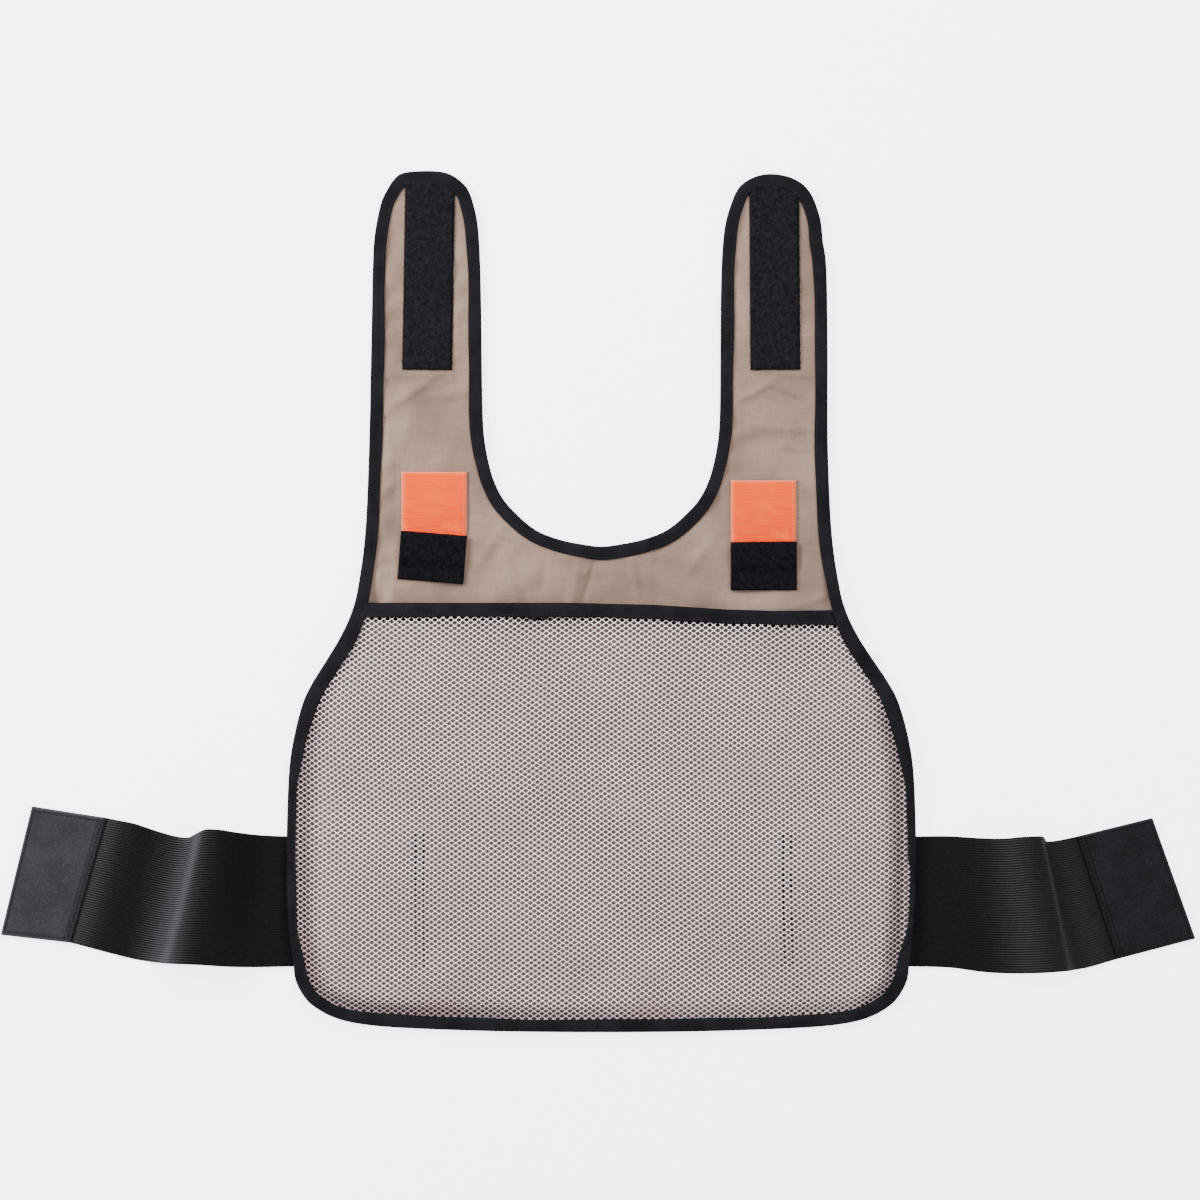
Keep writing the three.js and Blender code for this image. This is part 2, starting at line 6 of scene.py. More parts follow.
import bmesh
import bpy
import numpy as np
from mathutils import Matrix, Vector
from mathutils.geometry import delaunay_2d_cdt
from mathutils.kdtree import KDTree


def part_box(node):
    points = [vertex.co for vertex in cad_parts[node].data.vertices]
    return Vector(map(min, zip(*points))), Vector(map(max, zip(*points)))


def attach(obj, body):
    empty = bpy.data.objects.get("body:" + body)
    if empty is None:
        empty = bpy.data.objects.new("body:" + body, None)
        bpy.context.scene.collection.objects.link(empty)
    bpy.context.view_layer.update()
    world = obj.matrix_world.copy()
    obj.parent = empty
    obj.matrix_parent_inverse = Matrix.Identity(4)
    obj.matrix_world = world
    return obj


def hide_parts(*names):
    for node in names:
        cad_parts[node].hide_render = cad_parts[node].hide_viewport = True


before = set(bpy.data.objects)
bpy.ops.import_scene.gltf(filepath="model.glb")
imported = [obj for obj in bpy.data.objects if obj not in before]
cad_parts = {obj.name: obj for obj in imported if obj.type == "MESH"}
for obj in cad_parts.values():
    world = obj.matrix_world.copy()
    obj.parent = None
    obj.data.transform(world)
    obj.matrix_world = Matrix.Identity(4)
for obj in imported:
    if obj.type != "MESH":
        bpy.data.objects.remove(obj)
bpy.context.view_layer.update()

mm = 0.001


def table(names, *rows):
    """Rows of sizes under a line of names."""
    return [dict(zip(names.split(), row)) for row in rows]


# Cut of the cloth, as the solids have it
vest_length = 658 * mm
right_strap_shorter = 2.3 * mm
body_half = 239 * mm
hem_corner_rise = 85 * mm
armhole_low = 192 * mm
armhole_high = 391 * mm
neck_half = 91.75 * mm
neck_low = vest_length - 287 * mm
neck_curve_rise = 97 * mm
strap_width = 84 * mm
strap_end_rise = 68 * mm
strap_end_low = vest_length - strap_end_rise

# Layers
cloth_thickness = 1.5 * mm
tape_thickness = 1.1 * mm
binding_width = 10 * mm
net_thickness = 1.2 * mm
play = 0.4 * mm
gap = 0.3 * mm
sag_start = 45 * mm
sag_length = 30 * mm
fold_height = 2.4 * mm
band_width = 11 * mm
band_height = 328 * mm
band_room_length = 30 * mm
net_puff = 7 * mm
net_rise_length = 14 * mm
mouth_rise = 6 * mm
mouth_rise_length = 70 * mm
panel_base = tape_thickness + play
panel_top = panel_base + cloth_thickness
net_base = panel_top + play
band_room = tape_thickness + play
net_turn = band_height - band_width * 2

# Tapes, webbing and elastic
loop_width = 38 * mm
loop_thickness = 2 * mm
loop_low = 506 * mm
loop_offset = 133 * mm
webbing_width = 50 * mm
webbing_length = 62 * mm
webbing_thickness = 2 * mm
hook_length = 37 * mm
hook_width = 50.5 * mm
hook_thickness = 2 * mm
hook_lap = 15 * mm
hook_step = 6 * mm
tab_length = webbing_length + hook_length - hook_lap
elastic_width = 99 * mm
elastic_thickness = 1.8 * mm
elastic_middle = 99.5 * mm
elastic_anchor = 133 * mm
patch_thickness = 1.5 * mm
loft_ramp = 30 * mm
loft = elastic_thickness + gap
elastic_low = elastic_middle - elastic_width / 2
elastic_high = elastic_middle + elastic_width / 2
rest_on_panel = panel_top + gap
rib_pitch = 1.8 * mm
rib_height = 0.22 * mm

# The net's lattice: holes across and from row to row
net_across = 6.04 * mm
net_rows = 2.08 * mm
NET_CELL = {
    "Across": net_across,
    "Rows": net_rows,
    "Hole width": 4.25 * mm,
    "Hole height": 3.48 * mm,
    "Roundness": 0.42,
    "Thread": net_thickness,
}

# Threads and pile. stitch_line: share of a tape's width. pile_base: share of its thickness
EDGE_STITCH = dict(Pitch=3.2 * mm, Length=2.4 * mm, Thread=0.5 * mm)
WEBBING_STITCH = dict(Pitch=2.6 * mm, Length=2.0 * mm, Thread=0.4 * mm)
PATCH_STITCH = dict(Pitch=3.4 * mm, Length=2.4 * mm, Thread=0.7 * mm)
ANCHOR_STITCH = dict(Pitch=4.16 * mm, Length=3.4 * mm, Thread=2.5 * mm)
LOOP_PILE = dict(Density=900000.0, Height=1.0 * mm, Hair=0.32 * mm, Lean=1.1, Seed=5)
HOOK_PILE = dict(Density=700000.0, Height=0.9 * mm, Hair=0.28 * mm, Lean=0.5, Seed=8)
stitch_line = 0.84
pile_base = 0.55
anchor_low = 52 * mm
anchor_high = 150 * mm
anchor_bar = 139 * mm
anchor_lean = -0.012
ANCHOR_ROWS = ((-135.9 * mm, -141.9 * mm), (138.9 * mm, 144.9 * mm))

# How finely the cloth, the outline and the elastic are divided, and how high the soft relief is
outline_step = 4 * mm
cloth_step = 3.2 * mm
crease_step = 1.7 * mm
crease_height = 2.1 * mm
crease_width = 0.8 * mm
pucker_height = 1.25 * mm
crinkle_count = 46
crinkle_share = 0.0042
net_ripple = 0.75 * mm
net_hidden = 5.2 * mm
sewn_rows = 16
wavy_rows = 78
patch_rows = 22

# Camera, floor and light
photo_width = 918 * mm
photo_middle = (-1.0 * mm, 330.1 * mm)
camera_height = 2.6
floor_glow = 3.4
sky_glow = 0.52
LIGHTS = (
    dict(name="soft_key", at=(-1.9, 0.9, 1.35), size=1.1, power=137),
    dict(name="soft_back", at=(0.5, 2.0, 1.7), size=1.5, power=58),
    dict(name="soft_fill", at=(1.9, -0.8, 1.7), size=1.8, power=49),
)

# Edge of the lower body. up: share of the corner's rise. out: share of half the body's width
HEM_CORNER = table(
    "up out",
    (0.013, 0.4), (0.059, 0.73), (0.104, 0.823), (0.148, 0.868), (0.193, 0.898), (0.284, 0.94),
    (0.464, 0.976), (0.644, 0.984), (1, 1),
)
# Armhole. up: share of its height. inward: share of the way from the side to the strap's edge
ARMHOLE = table(
    "up inward",
    (0, 0), (0.15, 0.06), (0.31, 0.2), (0.385, 0.327), (0.46, 0.485), (0.54, 0.65), (0.615, 0.775),
    (0.69, 0.862), (0.77, 0.913), (0.88, 0.965),
)
# Straight part of the strap's outer edge. left and right: share of the strap's width
STRAP_EDGE = table(
    "up left right",
    (0, 1.048, 0.996), (0.3, 1.02, 0.969), (0.7, 1.0, 0.967), (1, 0.985, 0.951),
)
# Rounded end of the strap, over its top to the neck's side. up: share of the end's rise
STRAP_END = table(
    "up left right",
    (0.22, 0.975, 0.924), (0.446, 0.948, 0.906), (0.675, 0.902, 0.851), (0.788, 0.856, 0.806),
    (0.88, 0.811, 0.742), (0.965, 0.738, 0.62), (1, 0.52, 0.46), (0.975, 0.31, 0.32),
    (0.88, 0.182, 0.186), (0.788, 0.119, 0.131), (0.675, 0.082, 0.095), (0.446, 0.037, 0.04),
    (0, 0.01, 0.004),
)
# Neck. up: share of the curve's rise. out: share of half the neck's width
NECK = table(
    "up out",
    (1, 0.985), (0.842, 0.972), (0.684, 0.943), (0.526, 0.897), (0.368, 0.813), (0.214, 0.66),
    (0.155, 0.585), (0.107, 0.5), (0.052, 0.335), (0.02, 0.17),
)
# Drop of the band's upper edge. across: share of half the body. drop: share of the band's width
BAND_DRIFT = table(
    "across drop",
    (-1, 0), (-0.1, 0), (0.17, 0.14), (0.4, 0.46), (0.55, 0.56), (0.8, 0.5), (1, 0.15),
)
# Soft folds in the yoke and straps, as in the solids
FOLDS = table(
    "across up length width turn height",
    (-0.67, 0.904, 0.5, 0.16, 8, 0.8), (-0.49, 0.934, 0.35, 0.14, -14, 0.6),
    (0.66, 0.897, 0.45, 0.16, -10, 1), (0.47, 0.931, 0.4, 0.14, 12, 0.7),
    (-0.24, 0.683, 0.35, 0.1, 24, 0.7), (0.24, 0.676, 0.4, 0.1, -20, 0.8),
)
TABS = table("name across up turn", ("left", -0.534, 1.305, -4.6), ("right", 0.5185, 1.285, 0.4))
# Creases. x, y, length, width and height in millimetres, turn in degrees
CREASES = table(
    "x y length width turn height",
    (-146, 488, 20, 5, 33, 1.5), (-157, 496, 16, 4.5, 4, -1.0), (-121, 497, 15, 4, -4, -1.1),
    (-118, 487, 20, 5, 8, 0.8), (-163, 424, 48, 6, 88, 0.8), (-168, 468, 12, 4, -12, -0.8),
    (-168, 356, 14, 4, 10, -0.8), (-160, 335, 18, 5, 70, 0.8), (-9, 346, 17, 2.6, 74, -1.2),
    (-20, 343, 18, 4, 80, 0.9), (-85, 371, 15, 5, 60, 0.9), (-70, 352, 20, 5, -75, 0.6),
    (-44, 350, 16, 5, 84, -0.6), (117, 489, 15, 3.6, 30, 1.2), (140, 491, 17, 3.6, -24, 1.3),
    (148, 497, 16, 5, -12, -1.1), (144, 461, 26, 3.2, -5, 0.8), (122, 452, 22, 5, 2, -0.7),
    (150, 441, 14, 4, -14, -0.5), (166, 331, 15, 4, 16, 0.9), (43, 353, 20, 4, 92, -0.7),
    (25, 350, 18, 4, 100, 0.8), (76, 364, 20, 5, 52, 0.8),
)
LOOP_STRIPS = table("name side lean", ("left", -1, -0.9), ("right", 1, 0.4))

# Elastic from the side out: how far along the reach the upper and lower edge have come, how far
# each has moved up (share of the width), and the lift (share of the wave's height)
WAVE = "top_along low_along top_drift low_drift lift"
LEFT_WAVE = table(
    WAVE,
    (0, 0, 0, 0, 0), (0.094, 0.108, 0.012, -0.003, 0.12), (0.17, 0.205, 0.039, 0.01, 0.55),
    (0.226, 0.288, 0.065, 0.031, 0.93), (0.281, 0.354, 0.07, 0.04, 1),
    (0.3125, 0.389, 0.039, 0.039, 0.82), (0.344, 0.427, 0.003, 0.036, 0.5),
    (0.392, 0.476, 0.004, 0.039, 0.16), (0.455, 0.531, 0.039, 0.054, 0),
    (0.535, 0.615, 0.1, 0.101, 0.06), (0.587, 0.698, 0.124, 0.151, 0.08),
    (0.635, 0.759, 0.144, 0.184, 0), (0.892, 1, 0.233, 0.244, 0),
)
RIGHT_WAVE = table(
    WAVE,
    (0, 0, 0, 0, 0), (0.125, 0.128, 0.003, -0.008, 0.1), (0.228, 0.253, -0.008, -0.039, 0.4),
    (0.307, 0.349, -0.008, -0.042, 0.8), (0.378, 0.435, 0.008, -0.036, 1),
    (0.431, 0.506, 0.012, -0.028, 0.88), (0.456, 0.548, 0.008, -0.023, 0.66),
    (0.467, 0.562, -0.03, -0.021, 0.45), (0.512, 0.616, -0.028, -0.006, 0.17),
    (0.581, 0.724, 0, 0.058, 0), (0.848, 1, 0.143, 0.216, 0),
)
# Where the elastic's ribs and its whole face (shine) get painted highlights. Shares of the reach, but for the
# amount
LEFT_HIGHLIGHTS = dict(
    rib_highlight=((0.32, 0.07, 0.55, 0.045), (0.36, 0.05, 0.16, 0.04), (0.62, 0.06, 0.26, 0)),
    shine=((0.304, 0.014, 0.6, 0.045), (0.325, 0.032, 0.22, 0.05), (0.635, 0.05, 0.2, 0)),
)
RIGHT_HIGHLIGHTS = dict(
    rib_highlight=((0.335, 0.075, 0.5, 0), (0.52, 0.06, 0.36, 0)),
    shine=((0.452, 0.007, 0.4, 0), (0.34, 0.06, 0.05, 0)),
)
# pale: where the elastic gets painted highlights on its ribs and face
STRAPS = table(
    "name sign reach wave_height pale wave",
    ("left", -1, 220 * mm, 22 * mm, LEFT_HIGHLIGHTS, LEFT_WAVE),
    ("right", 1, 215 * mm, 15 * mm, RIGHT_HIGHLIGHTS, RIGHT_WAVE),
)

# The pattern's place in the frame: the vest's middle line and its hem
binding_low, binding_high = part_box("edge_binding")
middle_x = (binding_low[0] + binding_high[0]) / 2
hem_y = binding_low[1]


class Flow:
    """A socket in a node tree. An expression on flows adds its Math nodes."""

    def __init__(self, tree, socket):
        self.tree = tree
        self.socket = socket

    def math(self, operation, *others, swap=False):
        values = (*others, self) if swap else (self, *others)
        return node(self.tree, "ShaderNodeMath", dict(operation=operation), dict(enumerate(values)))

    def __neg__(self):
        return self.math("MULTIPLY", -1)


for sign, operation in dict(add="ADD", sub="SUBTRACT", mul="MULTIPLY", truediv="DIVIDE").items():
    setattr(Flow, f"__{sign}__", lambda self, other, kind=operation: self.math(kind, other))
    setattr(Flow, f"__r{sign}__", lambda self, other, kind=operation: self.math(kind, other, swap=True))


def node(tree, kind, settings=None, inputs=None, output=0):
    """Adds a node, sets it and its sockets, and gives one of its outputs."""
    made = tree.nodes.new(kind)
    for key, value in (settings or {}).items():
        setattr(made, key, value)
    for key, value in (inputs or {}).items():
        if isinstance(value, Flow):
            tree.links.new(value.socket, made.inputs[key])
        else:
            made.inputs[key].default_value = value
    return Flow(tree, made.outputs[output]) if len(made.outputs) else None


def mix_colour(tree, factor, first, second):
    """A colour between two, by a flow or a number."""
    made = tree.nodes.new("ShaderNodeMix")
    made.data_type = "RGBA"
    for slot, value in ((0, factor), (6, first), (7, second)):
        if isinstance(value, Flow):
            tree.links.new(value.socket, made.inputs[slot])
        else:
            made.inputs[slot].default_value = (*value, 1) if slot else value
    return Flow(tree, made.outputs[2])


def noise(where, scale, detail=2.0):
    inputs = {"Vector": where, "Scale": scale, "Detail": detail}
    return node(where.tree, "ShaderNodeTexNoise", None, inputs)


def clouds(where, scale, detail, low, high):
    """A soft noise, cut to 0 below low and 1 above high."""
    return ramp_flow(noise(where, scale, detail), low, high)


def part(tree, place, axis):
    return node(tree, "ShaderNodeSeparateXYZ", None, {0: place}, axis)


def triple(tree, x, y, z):
    return node(tree, "ShaderNodeCombineXYZ", None, {0: x, 1: y, 2: z})


def ramp_flow(flow, low, high):
    """0 below low and 1 above high."""
    return node(
        flow.tree,
        "ShaderNodeMapRange",
        dict(interpolation_type="SMOOTHSTEP"),
        {"Value": flow, "From Min": low, "From Max": high},
    )


def finish_of(name, colour, roughness, bump, depth, specular, sheen=0.0):
    """A fabric: functions of the tree for colour, roughness and bump, and the bump's depth in mm."""
    material = bpy.data.materials.new(name)
    material.use_nodes = True
    tree = material.node_tree
    tree.nodes.clear()
    inputs = {"Base Color": colour(tree), "Roughness": roughness(tree)}
    relief = {"Strength": 1.0, "Distance": depth * mm, "Height": bump(tree)}
    inputs["Normal"] = node(tree, "ShaderNodeBump", None, relief)
    inputs["Sheen Weight"] = sheen
    inputs["Specular IOR Level"] = specular
    shader = node(tree, "ShaderNodeBsdfPrincipled", None, inputs)
    node(tree, "ShaderNodeOutputMaterial", None, {"Surface": shader})
    return material


def object_place(tree):
    return node(tree, "ShaderNodeTexCoord", output="Object")


def cut_place(tree, axis):
    """Place on the cut piece in metres, across (0) or along (1)."""
    return part(tree, node(tree, "ShaderNodeUVMap", dict(uv_map="cut")), axis)


def spread_over(tree, name):
    """A share that the mesh carries on its points."""
    return node(tree, "ShaderNodeAttribute", dict(attribute_name=name), output="Fac")


def waves(flow, pitch):
    return (flow * (2 * math.pi / pitch)).math("SINE")


def mottled(light, dark, scale, detail=4.0):
    """A colour that wanders between two by a soft noise."""
    return lambda tree: mix_colour(tree, clouds(object_place(tree), scale, detail, 0.3, 0.7), dark, light)


def even(value, spread=0.05, scale=120):
    return lambda tree: noise(object_place(tree), scale) * spread + (value - spread / 2)


def weave(pitch, grain=0.4):
    """A plain weave's relief, with uneven yarn."""

    def height(tree):
        crossing = waves(cut_place(tree, 0), pitch) * waves(cut_place(tree, 1), pitch)
        return crossing + noise(object_place(tree), 900) * grain

    return height


def ribbed(pitch, axis, grain=0.3):
    def height(tree):
        return waves(cut_place(tree, axis), pitch) + noise(object_place(tree), 700) * grain

    return height


def grainy(scale):
    return lambda tree: noise(object_place(tree), scale, 5)


def webbing_colour(tree):
    """Orange that pales towards both woven edges, with a redder lower end."""
    across = cut_place(tree, 0)
    along = cut_place(tree, 1)
    away = (across - webbing_width / 2).math("ABSOLUTE")
    edge = ramp_flow(away, webbing_width * 0.465, webbing_width * 0.49)
    head = ramp_flow(along, webbing_length - 1.6 * mm, webbing_length - 0.6 * mm)
    line = 1 - ramp_flow((away - webbing_width * 0.44).math("ABSOLUTE"), 0.1 * mm, 0.5 * mm)
    streak = clouds(streaked(tree, 40, 620), 1, 3, 0.42, 0.62)
    cloud = clouds(streaked(tree, 55, 75), 1, 2, 0.48, 0.7)
    body = mix_colour(tree, ramp_flow(along, 0.012, 0.05), ORANGE_DEEP, ORANGE)
    body = mix_colour(tree, streak * 0.4, body, ORANGE_LIGHT)
    body = mix_colour(tree, cloud * 0.5, body, ORANGE_WARM)
    pale = (edge * 0.6 + line * 0.16 + head * 0.55).math("MINIMUM", 1.0)
    return mix_colour(tree, pale, body, ORANGE_PALE)


def streaked(tree, across, along):
    """A place on the cut stretched into streaks, as uneven yarns make."""
    return triple(tree, cut_place(tree, 0) * across, cut_place(tree, 1) * along, 0)


def cloth_colour(tree):
    """Beige cotton with soft clouds and slubs, in the net's shade over the pocket."""
    place = object_place(tree)
    body = mix_colour(tree, clouds(place, 14, 5, 0.32, 0.7), BEIGE_DARK, BEIGE_LIGHT)
    for across, along, share in ((75, 700, 0.36), (700, 75, 0.26)):
        slubs = clouds(streaked(tree, across, along), 1, 3, 0.45, 0.72)
        body = mix_colour(tree, slubs * share, body, BEIGE_SLUB)
    body = mix_colour(tree, clouds(place, 22, 2, 0.5, 0.75) * 0.3, body, BEIGE_ROSY)
    body = mix_colour(tree, spread_over(tree, "covered") * 0.85, body, BEIGE_SHADED)
    return mix_colour(tree, spread_over(tree, "edge") * 0.75, body, BEIGE_DEEP)


def cloth_relief(tree):
    yarn = waves(cut_place(tree, 0), 0.9 * mm) * waves(cut_place(tree, 1), 0.9 * mm)
    return noise(object_place(tree), 60, 5) * 6 + yarn * 0.3


def speckled(light, dark, cloud_scale, grain_scale):
    """A fibrous face: soft clouds under a fine bright grain."""

    def colour(tree):
        place = object_place(tree)
        cloud = clouds(place, cloud_scale, 3, 0.3, 0.7)
        grain = clouds(place, grain_scale, 2, 0.42, 0.72)
        return mix_colour(tree, grain * 0.6 + cloud * 0.4, dark, light)

    return colour


def elastic_colour(tree):
    """Near-black elastic, with painted highlights on its ribs and its whole face along the bright bands of
    its waves.
    """
    ribs = waves(cut_place(tree, 1), rib_pitch) * 0.5 + 0.5
    rib_highlight = spread_over(tree, "rib_highlight")
    shine = spread_over(tree, "shine")
    grain = clouds(object_place(tree), 420, 3, 0.35, 0.7)
    body = mix_colour(tree, grain * 0.6, ELASTIC_DARK, ELASTIC_LIGHT)
    return mix_colour(tree, ribs * ribs * rib_highlight + (ribs * 0.4 + 0.6) * shine, body, ELASTIC_HIGHLIGHT)


def net_colour(tree):
    """Pale pinkish thread, rosier low down and in shade where the net turns down to its edge."""
    place = object_place(tree)
    body = mix_colour(tree, clouds(place, 14, 4, 0.3, 0.7), THREAD_DARK, THREAD_LIGHT)
    rosy = clouds(place, 24, 3, 0.42, 0.66) * spread_over(tree, "low")
    body = mix_colour(tree, rosy * 0.8, body, THREAD_ROSY)
    return mix_colour(tree, spread_over(tree, "edge") * 0.7, body, THREAD_DEEP)


def patch_colour(light, dark, grain_scale):
    """A fibrous patch with a darker line of stitches and a paler rim."""

    def colour(tree):
        body = speckled(light, dark, 50, grain_scale)(tree)
        body = mix_colour(tree, spread_over(tree, "seam"), body, [c * 0.45 for c in dark])
        return mix_colour(tree, spread_over(tree, "rim"), body, [c * 1.5 for c in light])

    return colour


# Colours of the bare materials, as light sent back, with painted light among them: BEIGE_SHADED, BEIGE_DEEP
# and THREAD_DEEP are painted shade, the elastic's pale rib colour is a painted highlight, and the patches'
# grey and black are one material painted lighter and darker
BEIGE_LIGHT = (0.286, 0.195, 0.152)
BEIGE_DARK = (0.185, 0.123, 0.094)
BEIGE_ROSY = (0.246, 0.154, 0.129)
BEIGE_SLUB = (0.163, 0.112, 0.086)
BEIGE_SHADED = (0.122, 0.110, 0.114)
BEIGE_DEEP = (0.0294, 0.0196, 0.0222)
TAPE_LIGHT = (0.0086, 0.0080, 0.0112)
TAPE_DARK = (0.0045, 0.0042, 0.0060)
THREAD_LIGHT = (1.0, 0.84, 0.82)
THREAD_DARK = (0.96, 0.78, 0.77)
THREAD_ROSY = (0.92, 0.64, 0.63)
THREAD_DEEP = (0.34, 0.22, 0.24)
LOOP_LIGHT = (0.0115, 0.0108, 0.0146)
LOOP_DARK = (0.0027, 0.0025, 0.0038)
HOOK_LIGHT = (0.0104, 0.0096, 0.0142)
HOOK_DARK = (0.0018, 0.0017, 0.0031)
ORANGE = (0.860, 0.070, 0.0028)
ORANGE_LIGHT = (0.860, 0.112, 0.0080)
ORANGE_DEEP = (0.780, 0.042, 0.0020)
ORANGE_WARM = (0.860, 0.138, 0.0150)
ORANGE_PALE = (0.769, 0.277, 0.162)
ELASTIC_LIGHT = (0.0048, 0.0046, 0.0054)
ELASTIC_DARK = (0.0025, 0.0024, 0.0028)
# The elastic's painted highlight colour
ELASTIC_HIGHLIGHT = (0.0492, 0.0477, 0.0554)
# The patches are one material: the difference between the left patch's grey and the right patch's black is
# painted light and shade
GREY_LIGHT = (0.0323, 0.0308, 0.0385)
GREY_DARK = (0.0169, 0.0162, 0.0204)
BLACK_LIGHT = (0.0127, 0.0119, 0.0154)
BLACK_DARK = (0.0058, 0.0054, 0.0069)
YARN_LIGHT = (0.0138, 0.0131, 0.0169)
YARN_DARK = (0.0054, 0.0051, 0.0065)

FINISH_ROWS = (
    ("cloth", "beige_cloth", cloth_colour, even(0.88), cloth_relief, 0.3, 0.1, 0.05),
    ("binding", "folded_tape", mottled(TAPE_LIGHT, TAPE_DARK, 60), even(0.7), weave(1.1 * mm), 0.12, 0.06),
    ("net", "net_thread", net_colour, even(0.6), grainy(1500), 0.05, 0.3),
    ("loop_tape", "loop_pile", speckled(LOOP_LIGHT, LOOP_DARK, 240, 600),
     even(0.95), grainy(1200), 0.2, 0.08),
    ("hook_tape", "hook_pile", speckled(HOOK_LIGHT, HOOK_DARK, 260, 700), even(0.8), grainy(1000), 0.2, 0.05),
    ("webbing", "orange_webbing", webbing_colour, even(0.7), ribbed(1.1 * mm, 1), 0.12, 0.05),
    ("elastic", "ribbed_elastic", elastic_colour, even(0.45, 0.06), ribbed(0.7 * mm, 0, 0.5), 0.04, 0.06),
    # One material for both patches, painted lighter on the left and darker on the right
    ("patch_left", "patch_painted_lit", patch_colour(GREY_LIGHT, GREY_DARK, 700),
     even(0.9), grainy(800), 0.15, 0.12),
    ("patch_right", "patch_painted_dark", patch_colour(BLACK_LIGHT, BLACK_DARK, 600),
     even(0.95), grainy(900), 0.15, 0.08),
    ("dark_thread", "dark_thread", mottled(YARN_LIGHT, YARN_DARK, 80), even(0.6), grainy(2000), 0.03, 0.2),
    ("orange_thread", "orange_thread", mottled(ORANGE_PALE, ORANGE_LIGHT, 80),
     even(0.6), grainy(2000), 0.03, 0.2),
)
FINISHES = {key: finish_of(*row) for key, *row in FINISH_ROWS}


def ramp(value, low, high):
    return np.clip((value - low) / (high - low), 0, 1)


def smooth(value, low, high):
    share = ramp(value, low, high)
    return share * share * (3 - 2 * share)


def between(value, rise, full, fall, end):
    """1 from full to fall, and 0 before rise and after end."""
    return smooth(value, rise, full) * (1 - smooth(value, fall, end))


def hump(value, centre, width):
    return np.exp(-(((value - centre) / width) ** 2))


def blend(t, low, high, first, second):
    return ((high - t) * first + (t - low) * second) / (high - low)


def through(points, step, closed):
    """Evenly spaced points on a smooth centripetal curve through the given ones."""
    points = np.asarray(points, float)
    if closed:
        ring = np.vstack([points[-1], points, points[:2]])
    else:
        ring = np.vstack([2 * points[0] - points[1], points, 2 * points[-1] - points[-2]])
    fine = []
    for four in zip(ring, ring[1:], ring[2:], ring[3:]):
        pairs = list(zip(four, four[1:]))
        knots = np.cumsum([0] + [max(np.linalg.norm(b - a) ** 0.5, 1e-6) for a, b in pairs])
        for t in np.linspace(knots[1], knots[2], 12, endpoint=False):
            near = [blend(t, knots[i], knots[i + 1], *pair) for i, pair in enumerate(pairs)]
            low = blend(t, knots[0], knots[2], near[0], near[1])
            high = blend(t, knots[1], knots[3], near[1], near[2])
            fine.append(blend(t, knots[1], knots[2], low, high))
    fine = np.array(fine + [points[0] if closed else points[-1]])
    lengths = np.concatenate([[0], np.cumsum(np.linalg.norm(np.diff(fine, axis=0), axis=1))])
    count = max(2, round(lengths[-1] / step))
    at = np.linspace(0, lengths[-1], count + 1)
    even_points = np.stack([np.interp(at, lengths, fine[:, k]) for k in range(fine.shape[1])], axis=1)
    return even_points[:-1] if closed else even_points


def side_of_outline(side):
    """One side of the outline from the hem round the strap to the neck."""
    sign = -1 if side == "left" else 1
    end_rise = strap_end_rise - (0 if side == "left" else right_strap_shorter)
    inward = neck_half + strap_width * STRAP_EDGE[0][side] - body_half
    hole_rise = armhole_high - armhole_low
    edge_rise = strap_end_low - armhole_high
    points = [(body_half * r["out"], hem_corner_rise * r["up"]) for r in HEM_CORNER]
    points += [(body_half + inward * r["inward"], armhole_low + hole_rise * r["up"]) for r in ARMHOLE]
    points += [(neck_half + strap_width * r[side], armhole_high + edge_rise * r["up"]) for r in STRAP_EDGE]
    points += [(neck_half + strap_width * r[side], strap_end_low + end_rise * r["up"]) for r in STRAP_END]
    points += [(neck_half * r["out"], neck_low + neck_curve_rise * r["up"]) for r in NECK]
    return [(sign * x, y) for x, y in points]


OUTLINE = through(
    [(0, 0), *side_of_outline("right"), (0, neck_low), *side_of_outline("left")[::-1]], outline_step, True
)
TANGENT = np.roll(OUTLINE, -1, axis=0) - np.roll(OUTLINE, 1, axis=0)
TANGENT /= np.linalg.norm(TANGENT, axis=1)[:, None]
INWARD = np.stack([-TANGENT[:, 1], TANGENT[:, 0]], axis=1)


def depth_at(places):
    """Distance from the outline to each place, below zero outside it."""
    places = np.asarray(places, float)
    nearest = np.full(len(places), np.inf)
    inside = np.zeros(len(places), bool)
    for a, b in zip(OUTLINE, np.roll(OUTLINE, -1, axis=0)):
        way = b - a
        along = np.clip(((places - a) @ way) / (way @ way), 0, 1)
        off = places - a - along[:, None] * way
        nearest = np.minimum(nearest, np.hypot(off[:, 0], off[:, 1]))
        crosses = (a[1] > places[:, 1]) != (b[1] > places[:, 1])
        if crosses.any():
            at = a[0] + (places[:, 1] - a[1]) / (way[1] if way[1] else 1) * way[0]
            inside ^= crosses & (places[:, 0] < at)
    return np.where(inside, nearest, -nearest)


def table_at(rows, key, column, place):
    return np.interp(place, [r[key] for r in rows], [r[column] for r in rows])


def band_top(x):
    return band_height - band_width * table_at(BAND_DRIFT, "across", "drop", x / body_half)


def loft_at(x, y):
    """How far the elastic under the cloth lifts what lies on it."""
    along = smooth(np.abs(x), elastic_anchor - play - loft_ramp, elastic_anchor - play)
    below = smooth(y, elastic_low - play - loft_ramp, elastic_low - play)
    above = 1 - smooth(y, elastic_high + play, elastic_high + play + loft_ramp)
    return loft * np.minimum(along, np.minimum(below, above))


def ridge(row, dx, dy, length, width):
    """A long soft hump up to 1 at its centre, with its row's length and width in these units."""
    turn = math.radians(row["turn"])
    along = (dx * math.cos(turn) + dy * math.sin(turn)) / (row["length"] * length)
    across = (dy * math.cos(turn) - dx * math.sin(turn)) / (row["width"] * width)
    return np.exp(-along * along - across * across)


